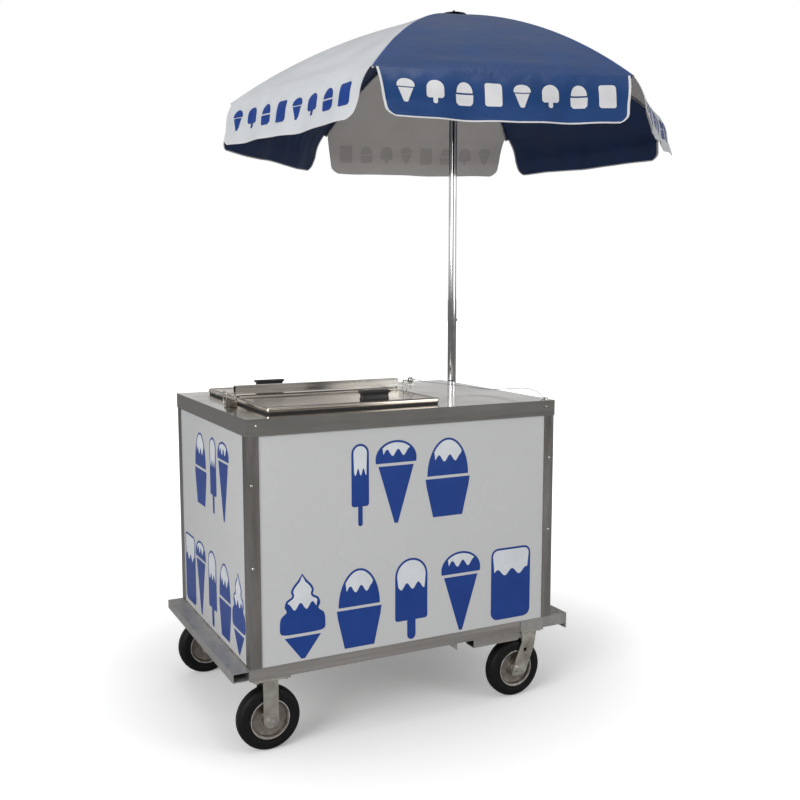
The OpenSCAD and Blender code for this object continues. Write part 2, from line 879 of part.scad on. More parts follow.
module hub_swivel_front() {
    color("gray") at_wheel(swivel_x - trail, -1) hub_shape();
}

module hub_swivel_rear() {
    color("gray") at_wheel(swivel_x - trail, 1) hub_shape();
}

// ---- umbrella ----

module at_pole() {
    translate([pole_x, pole_y, 0]) children();
}

// A closed socket on the bumper and a ring bracket on the corner post
module umbrella_holder() {
    bore = pole_r + slide_fit;
    color("silver") {
        at_pole() difference() {
            translate([0, 0, rail_top]) cylinder(r = holder_r, h = holder_top - rail_top);
            translate([0, 0, rail_top + holder_base])
                cylinder(r = bore, h = holder_top - rail_top);
        }
        difference() {
            union() {
                at_pole() translate([0, 0, ring_z[0]]) cylinder(r = holder_r, h = ring_z[1] - ring_z[0]);
                block([half_w, half_d - post_leg + 1, ring_z[0]],
                      [half_w + 3, half_d - 1, ring_z[1]]);
                block([half_w, pole_y - 10, ring_z[0]], [pole_x - pole_r + 1, pole_y + 10, ring_z[1]]);
            }
            at_pole() translate([0, 0, ring_z[0] - cut]) cylinder(r = bore, h = rail_top);
        }
    }
}

// Outer tube, with the clamp screw that holds the inner one
module pole_lower() {
    color("gainsboro") at_pole() {
        difference() {
            translate([0, 0, pole_bottom]) cylinder(r = pole_r, h = lower_top - pole_bottom);
            translate([0, 0, pole_bottom - cut])
                cylinder(r = upper_r + slide_fit, h = lower_top - pole_bottom + 2 * cut);
            translate([0, 0, clamp_z]) rotate([0, 0, clamp_turn]) rod_x(0, pole_d, clamp_r + fit);
        }
        translate([0, 0, clamp_z]) rotate([0, 0, clamp_turn]) {
            rod_x(upper_r + 2 * slide_fit, pole_r + 2, clamp_r);
            rod_x(pole_r + gap, pole_r + 3, clamp_r + 1.5);
        }
    }
}

module pole_upper() {
    color("gainsboro") at_pole() difference() {
        translate([0, 0, upper_bottom]) cylinder(r = upper_r, h = rib_z + crown_above - upper_bottom);
        translate([0, 0, upper_bottom - cut])
            cylinder(r = upper_r - 1.5, h = rib_z - upper_bottom - 10);
    }
}

module around_pole() {
    for (i = [0 : rib_count - 1]) rotate([0, 0, rib_turn + i * rib_step]) children();
}

// Collar that slides on the pole; the stretchers' lower ends ride in its six slots
module runner() {
    color("dimgray") at_pole() difference() {
        translate([0, 0, runner_z - runner_h / 2]) cylinder(r = runner_r, h = runner_h);
        translate([0, 0, runner_z - runner_h]) cylinder(r = upper_r + slide_fit, h = 2 * runner_h);
        around_pole()
            block([runner_core, -bar_t / 2 - slot_play, runner_z - runner_h],
                  [runner_r + cut, bar_t / 2 + slot_play, runner_z + runner_h]);
    }
}

// Slotted hub with a pivot pin across each slot, the fabric's cap washer and the finial
module crown() {
    slot = rib_size / 2 + slot_play;
    cap_z = rib_z + crown_above + 8.5;
    color("dimgray") at_pole() {
        difference() {
            translate([0, 0, rib_z - crown_below]) cylinder(r = crown_r, h = crown_below + crown_above);
            translate([0, 0, rib_z - 2 * crown_below]) cylinder(r = upper_r + fit, h = 3 * crown_below);
            around_pole() block([crown_core, -slot, rib_z - 2 * crown_below],
                                [crown_r + cut, slot, rib_z + crown_below]);
        }
        around_pole() translate([pivot_r, 0, rib_z]) rod_y(-slot - 3, slot + 3, small_pin);
        translate([0, 0, rib_z + crown_above]) cylinder(r = upper_r - 4, h = 8.5);
        translate([0, 0, cap_z]) cylinder(r = cap_r, h = 2);
        translate([0, 0, cap_z + 2]) cylinder(r = finial_r, h = 8);
        translate([0, 0, cap_z + 10]) cylinder(r = 5, h = 8);
    }
}

// The first rib lies in the XZ plane of the pole; the others are turned copies
module rib_bar() {
    far = 2 * rib_arc_r;
    a = root_slope;
    b = root_slope + rib_bend;
    translate([arc_r0, 0, arc_z0]) intersection() {
        difference() {
            rod_y(-rib_size / 2, rib_size / 2, rib_arc_r + rib_size / 2, $fn = 360);
            rod_y(-rib_size, rib_size, rib_arc_r - rib_size / 2, $fn = 360);
        }
        rotate([90, 0, 0]) linear_extrude(height = 4 * rib_size, center = true)
            polygon([[0, 0], [far * sin(a), far * cos(a)], [far * sin(b), far * cos(b)]]);
    }
}

module rib_shape() {
    end = arc_point(root_slope + rib_bend, 0);
    eye_w = rib_size / 2 + 0.2;
    cheek = bar_t / 2 + gap;
    difference() {
        union() {
            rib_bar();
            translate([pivot_r, 0, rib_z]) rod_y(-eye_w, eye_w, eye_r);
            translate([end[0], 0, end[1]]) rod_y(-eye_w, eye_w, eye_r - 0.4);
            for (side = [-1, 1])
                translate([joint_at[0], side * (cheek + cheek_t / 2), joint_at[1]]) {
                    rod_y(-cheek_t / 2, cheek_t / 2, eye_r);
                    rotate([0, joint_slope, 0])
                        block([-eye_r + 0.5, -cheek_t / 2, 0], [eye_r - 0.5, cheek_t / 2, -joint_off]);
                }
            translate([joint_at[0], 0, joint_at[1]])
                rod_y(-cheek - cheek_t / 2, cheek + cheek_t / 2, small_pin);
        }
        translate([pivot_r, 0, rib_z]) rod_y(-rib_size, rib_size, small_pin + fit);
    }
}

module rib(i) {
    color("gainsboro") at_pole() rotate([0, 0, rib_turn + i * rib_step]) rib_shape();
}

module rib_1() {
    rib(0);
}

module rib_2() {
    rib(1);
}

module rib_3() {
    rib(2);
}

module rib_4() {
    rib(3);
}

module rib_5() {
    rib(4);
}

module rib_6() {
    rib(5);
}

// Flat bar from the rib's bracket down to the runner, bored at the bracket
module stretcher_shape() {
    translate([joint_at[0], 0, joint_at[1]]) rotate([0, -stretcher_slope, 0]) difference() {
        union() {
            block([-stretcher_l, -bar_t / 2, -bar_deep / 2], [0, bar_t / 2, bar_deep / 2]);
            rod_y(-bar_t / 2, bar_t / 2, eye_r);
            translate([-stretcher_l, 0, 0]) rod_y(-bar_t / 2, bar_t / 2, bar_deep / 2);
        }
        rod_y(-bar_t, bar_t, small_pin + fit);
    }
}

module stretcher(i) {
    color("gainsboro") at_pole() rotate([0, 0, rib_turn + i * rib_step]) stretcher_shape();
}

module stretcher_1() {
    stretcher(0);
}

module stretcher_2() {
    stretcher(1);
}

module stretcher_3() {
    stretcher(2);
}

module stretcher_4() {
    stretcher(3);
}

module stretcher_5() {
    stretcher(4);
}

module stretcher_6() {
    stretcher(5);
}

// Six flat-sided gores between the ribs' arcs, as one even shell open at the pole
module canopy_top() {
    rows = canopy_steps + 1;
    count = rows * rib_count;
    function slope(j) = canopy_start + (canopy_end - canopy_start) * j / canopy_steps;
    function ring(off) = [for (j = [0 : canopy_steps]) for (i = [0 : rib_count - 1])
        let (p = arc_point(slope(j), off), a = i * rib_step)
        [p[0] * cos(a), p[0] * sin(a), p[1]]];
    function at(j, i) = j * rib_count + i % rib_count;
    outer = [for (j = [0 : canopy_steps - 1]) for (i = [0 : rib_count - 1])
        [at(j, i), at(j, i + 1), at(j + 1, i + 1), at(j + 1, i)]];
    inner = [for (f = outer) [f[3] + count, f[2] + count, f[1] + count, f[0] + count]];
    top = [for (i = [0 : rib_count - 1])
        [at(0, i), at(0, i) + count, at(0, i + 1) + count, at(0, i + 1)]];
    last = canopy_steps;
    hem = [for (i = [0 : rib_count - 1])
        [at(last, i), at(last, i + 1), at(last, i + 1) + count, at(last, i) + count]];
    polyhedron(points = concat(ring(canopy_out), ring(canopy_in)),
               faces = concat(outer, inner, top, hem));
}

// One hanging flap: a slab cut to a trapezium, hinged along the canopy's edge
module flap() {
    half = edge_at[0] / 2;
    apothem = edge_at[0] * cos(rib_step / 2);
    rotate([0, 0, rib_step / 2]) translate([apothem - 1, 0, edge_at[1] - 2.5])
        rotate([0, -valance_lean, 0]) rotate([90, 0, 90]) linear_extrude(height = cloth_t)
            polygon([
                [-half + flap_gap, 1], [half - flap_gap, 1],
                [half - flap_gap - flap_slant, -valance_h], [-half + flap_gap + flap_slant, -valance_h]
            ]);
}

module canopy() {
    color("royalblue") at_pole() rotate([0, 0, rib_turn]) {
        canopy_top();
        for (i = [0 : rib_count - 1]) rotate([0, 0, i * rib_step]) flap();
    }
}

base_frame();
bumper_left();
bumper_right();
caster_channels();
floor_pan();
corner_posts();
panel_front();
panel_back();
panel_left();
panel_right();
insulation();
liner();
cold_plates();
deck();
fasteners();
hinge_strip();
lock_bar();
bar_staples();
lock_pin();
lanyard();
umbrella_holder();
rigid_forks();
rigid_axles();
swivel_plates();
lid_front();
lid_rear();
handle_front();
handle_rear();
gasket_front();
gasket_rear();
padlock();
swivel_fork_front();
swivel_fork_rear();
swivel_axle_front();
swivel_axle_rear();
tyre_rigid_front();
tyre_rigid_rear();
tyre_swivel_front();
tyre_swivel_rear();
hub_rigid_front();
hub_rigid_rear();
hub_swivel_front();
hub_swivel_rear();
pole_lower();
pole_upper();
runner();
crown();
canopy();
rib_1();
rib_2();
rib_3();
rib_4();
rib_5();
rib_6();
stretcher_1();
stretcher_2();
stretcher_3();
stretcher_4();
stretcher_5();
stretcher_6();
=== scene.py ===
import math

import bmesh
import bpy
from mathutils import Matrix, Vector


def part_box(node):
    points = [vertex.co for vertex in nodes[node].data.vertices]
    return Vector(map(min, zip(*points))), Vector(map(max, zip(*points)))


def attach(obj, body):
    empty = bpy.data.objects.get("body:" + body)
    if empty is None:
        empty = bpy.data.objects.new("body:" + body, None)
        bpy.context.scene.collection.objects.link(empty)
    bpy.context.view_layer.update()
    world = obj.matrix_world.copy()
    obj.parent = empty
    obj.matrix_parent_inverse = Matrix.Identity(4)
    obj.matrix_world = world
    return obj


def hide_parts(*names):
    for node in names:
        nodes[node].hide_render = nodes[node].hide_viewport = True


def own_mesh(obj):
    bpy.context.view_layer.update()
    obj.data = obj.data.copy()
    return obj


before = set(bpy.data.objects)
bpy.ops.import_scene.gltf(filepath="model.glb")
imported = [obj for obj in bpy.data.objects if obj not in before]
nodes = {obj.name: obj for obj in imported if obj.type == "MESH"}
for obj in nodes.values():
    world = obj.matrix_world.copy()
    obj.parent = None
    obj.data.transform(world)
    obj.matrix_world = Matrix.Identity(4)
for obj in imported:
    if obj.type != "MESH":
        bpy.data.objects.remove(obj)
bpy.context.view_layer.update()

scene = bpy.context.scene


# ---- Camera ----
# Stands left of the cart's front at a standing person's chest height, about 3.5 m off,
# and looks a little down at the middle of the cart.
eye = Vector((-1.443919, -3.153232, 1.442946))
eye_yaw = 0.470
eye_pitch = 0.118
gaze = Vector((math.sin(eye_yaw) * math.cos(eye_pitch), math.cos(eye_yaw) * math.cos(eye_pitch),
               -math.sin(eye_pitch)))
camera_data = bpy.data.cameras.new("camera")
camera_data.lens = 44.41
camera_data.sensor_width = 36
camera_data.clip_end = 60
camera = bpy.data.objects.new("camera", camera_data)
camera.location = eye
camera.rotation_euler = gaze.to_track_quat("-Z", "Y").to_euler()
scene.collection.objects.link(camera)
scene.camera = camera


# ---- Lock pin's wire ----
# A thin plated wire rope that keeps the lock pin with the cart. It springs from a ferrule on
# the pin's knob, arches over the deck and ends in a ferrule near the front right corner.
def stock(name, dark, light, rough, metal=0.0, size=20.0, stretch=(1, 1, 1), relief=0.08,
          band=(0.3, 0.7), gloss_swing=0.08, coat=0.0, detail=6, depth=0.0006):
    """A sheet, bar or moulding's finish: uneven tone, uneven gloss and a fine relief."""
    m = bpy.data.materials.new(name)
    m.use_nodes = True
    t = m.node_tree
    shader = t.nodes["Principled BSDF"]
    shader.inputs["Metallic"].default_value = metal
    shader.inputs["Coat Weight"].default_value = coat
    where = t.nodes.new("ShaderNodeTexCoord")
    place = t.nodes.new("ShaderNodeMapping")
    place.inputs["Scale"].default_value = stretch
    t.links.new(where.outputs["Object"], place.inputs["Vector"])
    grain = t.nodes.new("ShaderNodeTexNoise")
    grain.inputs["Scale"].default_value = size
    grain.inputs["Detail"].default_value = detail
    grain.inputs["Roughness"].default_value = 0.6
    t.links.new(place.outputs["Vector"], grain.inputs["Vector"])
    tone = t.nodes.new("ShaderNodeValToRGB")
    tone.color_ramp.elements[0].position = band[0]
    tone.color_ramp.elements[0].color = (*dark, 1)
    tone.color_ramp.elements[1].position = band[1]
    tone.color_ramp.elements[1].color = (*light, 1)
    t.links.new(grain.outputs["Fac"], tone.inputs["Fac"])
    t.links.new(tone.outputs["Color"], shader.inputs["Base Color"])
    gloss = t.nodes.new("ShaderNodeMapRange")
    gloss.inputs["From Min"].default_value = 0.3
    gloss.inputs["From Max"].default_value = 0.7
    gloss.inputs["To Min"].default_value = max(0.02, rough - gloss_swing)
    gloss.inputs["To Max"].default_value = min(1.0, rough + gloss_swing)
    t.links.new(grain.outputs["Fac"], gloss.inputs["Value"])
    t.links.new(gloss.outputs["Result"], shader.inputs["Roughness"])
    bump = t.nodes.new("ShaderNodeBump")
    bump.inputs["Strength"].default_value = relief
    bump.inputs["Distance"].default_value = depth
    t.links.new(grain.outputs["Fac"], bump.inputs["Height"])
    t.links.new(bump.outputs["Normal"], shader.inputs["Normal"])
    return m


def made(name, bm, body, *finishes, sharp=32):
    """Turns a bmesh into a finished piece that moves with a body."""
    bmesh.ops.remove_doubles(bm, verts=bm.verts, dist=1e-6)
    bmesh.ops.recalc_face_normals(bm, faces=bm.faces)
    mesh = bpy.data.meshes.new(name)
    bm.to_mesh(mesh)
    bm.free()
    for f in finishes:
        mesh.materials.append(f)
    for p in mesh.polygons:
        p.use_smooth = True
    mesh.set_sharp_from_angle(angle=math.radians(sharp))
    obj = bpy.data.objects.new(name, mesh)
    scene.collection.objects.link(obj)
    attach(obj, body)
    return obj


def bent_rod(bm, path, radius, sides=12, finish=0):
    """A round rod or wire swept along points; radius is one number or one for each point."""
    pts = [Vector(p) for p in path]
    radii = radius if isinstance(radius, list) else [radius] * len(pts)
    side = (pts[1] - pts[0]).normalized().orthogonal().normalized()
    rings = []
    for i, p in enumerate(pts):
        run = (pts[min(i + 1, len(pts) - 1)] - pts[max(i - 1, 0)]).normalized()
        side = (side - run * side.dot(run)).normalized()
        up = run.cross(side)
        angles = [math.tau * k / sides for k in range(sides)]
        rings.append([bm.verts.new(p + radii[i] * (math.cos(a) * side + math.sin(a) * up)) for a in angles])
    walls = [(a[k - 1], a[k], b[k], b[k - 1]) for a, b in zip(rings, rings[1:]) for k in range(sides)]
    for corners in walls + [rings[0][::-1], rings[-1]]:
        bm.faces.new(corners).material_index = finish


def eased(points, steps):
    """Points along a smooth line through the given ones."""
    pts = [Vector(p) for p in points]
    out = []
    for i in range(len(pts) - 1):
        a, b = pts[max(i - 1, 0)], pts[i]
        c, d = pts[i + 1], pts[min(i + 2, len(pts) - 1)]
        for s in range(steps):
            t = s / steps
            out.append(0.5 * (2 * b + (c - a) * t + (2 * a - 5 * b + 4 * c - d) * t * t
                              + (3 * b - a - 3 * c + d) * t ** 3))
    return out + [pts[-1]]


wire_steel = stock("wire_rope", (0.16, 0.16, 0.17), (0.5, 0.5, 0.52), 0.38, 1.0, size=900,
                   stretch=(0.35, 1, 1), relief=0.6, depth=0.0003)
wire_line = eased([
    (0.219, 0, 1.095), (0.236, 0.001, 1.092), (0.262, 0.003, 1.085), (0.310, 0.008, 1.078),
    (0.360, 0.008, 1.071), (0.405, -0.010, 1.065), (0.437, -0.048, 1.060), (0.466, -0.100, 1.058),
    (0.492, -0.156, 1.062), (0.512, -0.212, 1.069), (0.526, -0.262, 1.073), (0.534, -0.298, 1.069),
    (0.539, -0.322, 1.060), (0.541, -0.338, 1.050), (0.541, -0.350, 1.048)], 8)
bm = bmesh.new()
bent_rod(bm, wire_line, 0.0011, sides=10)
wire = made("lock_pin_wire", bm, "cart", wire_steel)
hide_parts("lanyard")


# ---- Base frame ----
# Square stainless tube, sawn and welded into a ladder under the box, with two hat channels
# ahead of the swivel casters. The welds are left as small rippled beads.
def show(node, finish, edge=0.0008, steps=2):
    """A piece taken as it is from the frame, with its finish and softened edges."""
    obj = nodes[node]
    obj.data.materials.clear()
    obj.data.materials.append(finish)
    if edge:
        soft = obj.modifiers.new("soft_edges", "BEVEL")
        soft.width = edge
        soft.segments = steps
        soft.limit_method = "ANGLE"
        soft.angle_limit = math.radians(40)
    return obj


def bead(bm, a, b, r=0.003, step=0.004):
    """A weld bead from a to b: a rod whose thickness ripples with each puddle."""
    a, b = Vector(a), Vector(b)
    n = max(4, int((b - a).length / step) * 3)
    line = [a.lerp(b, i / n) for i in range(n + 1)]
    bent_rod(bm, line, [r * (0.82 + 0.18 * math.cos(math.tau * i / 3)) for i in range(n + 1)], 8)


tube_steel = stock("stainless_tube", (0.33, 0.31, 0.29), (0.56, 0.535, 0.51), 0.36, 1.0, size=14,
                   stretch=(0.12, 1, 5), relief=0.12, band=(0.2, 0.75), gloss_swing=0.1)
weld_metal = stock("weld_bead", (0.14, 0.13, 0.12), (0.5, 0.46, 0.4), 0.42, 1.0, size=160, relief=0.4)
for node in ("base_frame", "caster_channels", "umbrella_holder"):
    show(node, tube_steel, 0.0012)
frame_lo, frame_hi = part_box("base_frame")
tube = 0.038
splice_x, right_cross_x = 0.425, 0.512
bm = bmesh.new()
for y, out in ((frame_lo.y, -1), (frame_hi.y, 1)):
    skin_y, inner_y = y + out * 0.0006, y - out * tube
    bead(bm, (splice_x, skin_y, frame_lo.z + 0.002), (splice_x, skin_y, frame_hi.z - 0.002), 0.0022)
    for x in (frame_lo.x + tube, right_cross_x):
        bead(bm, (x, inner_y, frame_lo.z + 0.001), (x + 0.03, inner_y, frame_lo.z + 0.001), 0.0024)
channel_lo, channel_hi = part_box("caster_channels")
channel_long = 0.185
tab_x, weld_z = channel_lo.x + 0.008, channel_hi.z - 0.001
for y, out in ((channel_lo.y, -1), (channel_hi.y, 1)):
    for k in range(4):
        x = channel_hi.x - channel_long + 0.012 + 0.05 * k
        bead(bm, (x, y, weld_z), (x + 0.018, y, weld_z), 0.0024)
    tab_y = y - out * 0.003
    bead(bm, (tab_x, tab_y, weld_z), (tab_x + 0.018, tab_y, weld_z), 0.0018)
beads = made("frame_welds", bm, "cart", weld_metal)


# ---- Bumpers ----
# Heavier tube at the left and an angle at the right, standing out past the box where the cart
# meets walls. Grey plated steel, scuffed and mottled from handling, tacked on with short welds.
scuffed = stock("scuffed_zinc", (0.33, 0.325, 0.32), (0.50, 0.49, 0.475), 0.44, 0.65, size=34,
                relief=0.2, band=(0.25, 0.75), gloss_swing=0.12, detail=10)
show("bumper_left", scuffed, 0.002, 3)
show("bumper_right", scuffed, 0.0016, 3)
left_lo, left_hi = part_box("bumper_left")
right_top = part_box("bumper_right")[1].z
first_tack, tack_step, tack_long = -0.36, 0.139, 0.03
plate_y, plate_x, lip_x = 0.3565, 0.567, 0.614
bm = bmesh.new()
for k in range(6):
    y = first_tack + tack_step * k
    for z in (left_hi.z, left_lo.z):
        bead(bm, (left_hi.x, y, z), (left_hi.x, y + tack_long, z), 0.003)
for y in (-plate_y, plate_y):
    bead(bm, (plate_x, y, right_top), (lip_x, y, right_top), 0.0032)
    bead(bm, (lip_x + 0.0006, y, right_top - 0.037), (lip_x + 0.0006, y, right_top - 0.006), 0.0032)
tacks = made("bumper_welds", bm, "cart", weld_metal)


# ---- Body shell ----
# Corner posts of folded stainless angle hold smooth white laminate panels. The foam, its pale
# liner and the two cold plates stand inside, and a thin pan closes the bottom.
post_steel = stock("post_stainless", (0.21, 0.195, 0.185), (0.46, 0.44, 0.42), 0.25, 1.0, size=7,
                   stretch=(3, 3, 0.35), relief=0.08, band=(0.25, 0.75), gloss_swing=0.06)
panel_white = stock("panel_white", (0.664, 0.668, 0.672), (0.676, 0.680, 0.683), 0.26, 0.0, size=3,
                    relief=0.01, coat=0.2, gloss_swing=0.03, detail=2)
pan_steel = stock("pan_sheet", (0.34, 0.33, 0.31), (0.56, 0.55, 0.52), 0.4, 1.0, size=30,
                  stretch=(0.1, 1, 1), relief=0.1)
foam_tan = stock("foam", (0.62, 0.52, 0.27), (0.82, 0.74, 0.47), 0.85, 0.0, size=140, relief=0.5)
liner_pale = stock("liner_sheet", (0.66, 0.67, 0.67), (0.84, 0.85, 0.85), 0.34, 0.3, size=18, relief=0.06)
plate_grey = stock("cold_plate", (0.46, 0.47, 0.48), (0.7, 0.71, 0.72), 0.42, 0.9, size=60, relief=0.2)
show("corner_posts", post_steel, 0.0012, 3)
for node in ("panel_front", "panel_back", "panel_left", "panel_right"):
    show(node, panel_white, 0.0006)
show("floor_pan", pan_steel, 0.0004)
show("insulation", foam_tan, 0)
show("liner", liner_pale, 0.0004)
show("cold_plates", plate_grey, 0.002, 3)


# ---- Deck ----
# One stainless sheet folded down into a skirt on all four sides, with the two mouths cut
# through it. Brushed along its length and kept bright by wiping.
def deck_finish():
    m = stock("deck_sheet", (0.46, 0.44, 0.415), (0.66, 0.635, 0.60), 0.20, 1.0, size=10,
              stretch=(0.25, 14, 6), relief=0.05, band=(0.2, 0.8), gloss_swing=0.05, depth=0.0003)
    t = m.node_tree
    where = t.nodes["Texture Coordinate"]
    smear = t.nodes.new("ShaderNodeTexNoise")
    smear.inputs["Scale"].default_value = 5
    smear.inputs["Detail"].default_value = 8
    t.links.new(where.outputs["Object"], smear.inputs["Vector"])
    swing = t.nodes.new("ShaderNodeMapRange")
    swing.inputs["From Min"].default_value = 0.35
    swing.inputs["From Max"].default_value = 0.7
    swing.inputs["To Min"].default_value = 0.07
    swing.inputs["To Max"].default_value = 0.20
    t.links.new(smear.outputs["Fac"], swing.inputs["Value"])
    t.links.new(swing.outputs["Result"], t.nodes["Principled BSDF"].inputs["Roughness"])
    return m


deck_steel = deck_finish()
show("deck", deck_steel, 0.0014, 3)
rivet_steel = stock("bright_fastener", (0.45, 0.44, 0.42), (0.75, 0.74, 0.72), 0.22, 1.0, size=80, relief=0.1)
show("fasteners", rivet_steel, 0.0004)


# ---- Panel marks ----
# Cut vinyl marks on the front, back and end panels: plain frozen-treat shapes in deep blue,
# each with a white dripping cap laid on top of the blue.
def vinyl(name, dark, light):
    return stock(name, dark, light, 0.35, 0.0, size=14, relief=0.02, coat=0.1, gloss_swing=0.05)


def arc(cx, cy, rx, ry, a0, a1, n):
    """Points along an ellipse from angle a0 to a1, in degrees."""
    return [(cx + rx * math.cos(math.radians(a0 + (a1 - a0) * i / n)),
             cy + ry * math.sin(math.radians(a0 + (a1 - a0) * i / n))) for i in range(n + 1)]


def dripping(outline, level, sway, shift):
    """The part of an outline above a wavy line: its upper points closed by rounded drips."""
    top = [p for p in outline if p[1] >= level + sway]
    first = max(range(len(top)), key=lambda i: (top[i][0] - top[i - 1][0]) ** 2
                + (top[i][1] - top[i - 1][1]) ** 2)
    top = top[first:] + top[:first]
    a, b = top[-1], top[0]
    waves, n = 2.5, 26
    drops = [(a[0] + (b[0] - a[0]) * k / n,
              level + sway * math.cos(math.tau * waves * k / n + shift)) for k in range(1, n)]
    return top + drops


def shrunk(outline, by):
    """An outline drawn in by a fixed distance."""
    area = sum(a[0] * b[1] - b[0] * a[1] for a, b in zip(outline, outline[1:] + outline[:1]))
    turn = 1 if area > 0 else -1
    out = []
    n = len(outline)
    for i in range(n):
        p, q, r = Vector(outline[i - 1]), Vector(outline[i]), Vector(outline[(i + 1) % n])
        d = r - p
        if d.length < 1e-9:
            continue
        inward = Vector((-d.y, d.x)).normalized() * turn
        out.append(tuple(q + inward * by))
    return out


def lolly(w, h):
    r = w / 2
    body = arc(0, h / 2 - r, r, r, 0, 180, 16)
    low = -h / 2 + h * 0.24
    stick = w * 0.13
    return [body + [(-r, low + 0.006), (-r + 0.006, low)] + [(-stick, low), (-stick, -h / 2 + stick)]
            + arc(0, -h / 2 + stick, stick, stick, 180, 360, 8) + [(stick, low), (r - 0.006, low),
            (r, low + 0.006)]]


def cone(w, h):
    r = w / 2
    top = arc(0, h / 2 - r * 0.82, r, r * 0.82, -12, 192, 26)
    return [top, [(-r * 0.86, h / 2 - r * 1.12), (-0.006, -h / 2), (0.006, -h / 2),
                  (r * 0.86, h / 2 - r * 1.12)]]


def tub(w, h):
    r = w / 2
    top = arc(0, h * 0.02, r * 0.92, h * 0.47, 0, 180, 26)
    return [top, [(-r, -0.004), (-r * 0.95, -0.03), (-r * 0.66, -h / 2), (r * 0.66, -h / 2),
                  (r * 0.95, -0.03), (r, -0.004)]]


def sandwich(w, h):
    r = w * 0.17
    x, y = w / 2 - r, h / 2 - r
    return [arc(x, y, r, r, 0, 90, 6) + arc(-x, y, r, r, 90, 180, 6)
            + arc(-x, -y, r, r, 180, 270, 6) + arc(x, -y, r, r, 270, 360, 6)]


def swirl(w, h):
    r = w / 2
    right = [(0.30 * r, -0.20), (0.92 * r, -0.185), (r, -0.09), (0.94 * r, 0.01), (0.70 * r, 0.07),
             (0.78 * r, 0.13), (0.70 * r, 0.20), (0.46 * r, 0.245), (0.50 * r, 0.30), (0.40 * r, 0.36),
             (0.20 * r, 0.42)]
    soft = [(p.x, p.y * h) for p in eased([(x, y, 0) for x, y in right], 4)]
    return [soft + [(0, h / 2)] + [(-x, y) for x, y in reversed(soft)],
            [(-r * 0.8, -h * 0.235), (-0.006, -h / 2), (0.006, -h / 2), (r * 0.8, -h * 0.235)]]


def lay(bm, outline, place, low, high, finish):
    """A flat cut shape of vinyl from low to high off its panel."""
    loop = [bm.verts.new(place(x, y, low)) for x, y in outline]
    base = bm.faces.new(loop)
    base.material_index = finish
    grown = bmesh.ops.extrude_face_region(bm, geom=[base])
    lifted = [v for v in grown["geom"] if isinstance(v, bmesh.types.BMVert)]
    off = place(0, 0, high) - place(0, 0, low)
    bmesh.ops.translate(bm, verts=lifted, vec=off)


def mark(bm, shapes, place, blue_high=0.00045, cap_low=0.0002, cap_high=0.0008):
    """A treat's blue shapes, with a white dripping cap over the first of them."""
    for k, outline in enumerate(shapes):
        lay(bm, outline, place, 0.0, blue_high, 0)
        if k == 0:
            ys = [p[1] for p in outline]
            level = min(ys) + (max(ys) - min(ys)) * (0.66 if len(shapes) == 1 else 0.46)
            cap = dripping(shrunk(outline, 0.007), level, 0.011, 0.6 * len(outline))
            lay(bm, cap, place, cap_low, cap_high, 1)


mark_blue = vinyl("mark_blue", (0.0, 0.040, 0.26), (0.003, 0.050, 0.30))
mark_white = vinyl("mark_white", (0.72, 0.76, 0.80), (0.84, 0.87, 0.9))
front_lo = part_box("panel_front")[0]
end_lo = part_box("panel_left")[0]
upper_z, lower_z = 0.815, 0.4225
upper_row = [(lolly, -0.181, 0.060, 0.262), (cone, -0.055, 0.146, 0.268), (tub, 0.134, 0.166, 0.262)]
lower_row = [(swirl, -0.378, 0.150, 0.270), (tub, -0.186, 0.156, 0.258), (lolly, 0.000, 0.118, 0.272),
             (cone, 0.186, 0.150, 0.270), (sandwich, 0.384, 0.158, 0.250)]
end_upper = [(tub, -0.114, 0.140, 0.252), (lolly, 0.035, 0.070, 0.255), (cone, 0.150, 0.120, 0.258)]
end_lower = [(sandwich, -0.276, 0.128, 0.250), (cone, -0.140, 0.124, 0.262), (lolly, 0.000, 0.092, 0.262),
             (tub, 0.140, 0.130, 0.252), (swirl, 0.283, 0.130, 0.262)]
sides = [
    ("front_marks", upper_row, lower_row,
     lambda cx, cz: lambda x, y, o: Vector((cx + x, front_lo.y - o, cz + y))),
    ("back_marks", upper_row, lower_row,
     lambda cx, cz: lambda x, y, o: Vector((-cx - x, -front_lo.y + o, cz + y))),
    ("left_marks", end_upper, end_lower,
     lambda cx, cz: lambda x, y, o: Vector((end_lo.x - o, -cx - x, cz + y))),
    ("right_marks", end_upper, end_lower,
     lambda cx, cz: lambda x, y, o: Vector((-end_lo.x + o, cx + x, cz + y))),
]
for name, upper, lower, side in sides:
    bm = bmesh.new()
    for row, z in ((upper, upper_z), (lower, lower_z)):
        for shape, x, w, h in row:
            mark(bm, shape(w, h), side(x, z))
    marks = made(name, bm, "cart", mark_blue, mark_white)


# ---- Lids ----
# Two flip lids of bright stainless over foam. The edge is rolled over and the middle pressed
# a little lower; a black seal shows under the rim. Leaves between the strip's lugs carry it.
def rounded_loop(bm, half_l, half_d, corner, z, centre, steps=6):
    """The corners, in order, of a level rectangle with round corners."""
    loop = []
    for sx, sy, a0 in ((1, 1, 0), (-1, 1, 90), (-1, -1, 180), (1, -1, 270)):
        for k in range(steps + 1):
            a = math.radians(a0 + 90 * k / steps)
            loop.append(bm.verts.new((centre[0] + sx * (half_l - corner) + corner * math.cos(a),
                                      centre[1] + sy * (half_d - corner) + corner * math.sin(a), z)))
    return loop


def stacked(bm, loops):
    """Walls between loops of equal count, closed at both ends."""
    n = len(loops[0])
    for a, b in zip(loops, loops[1:]):
        for k in range(n):
            bm.faces.new((a[k], a[(k + 1) % n], b[(k + 1) % n], b[k]))
    bm.faces.new(loops[0][::-1])
    bm.faces.new(loops[-1])


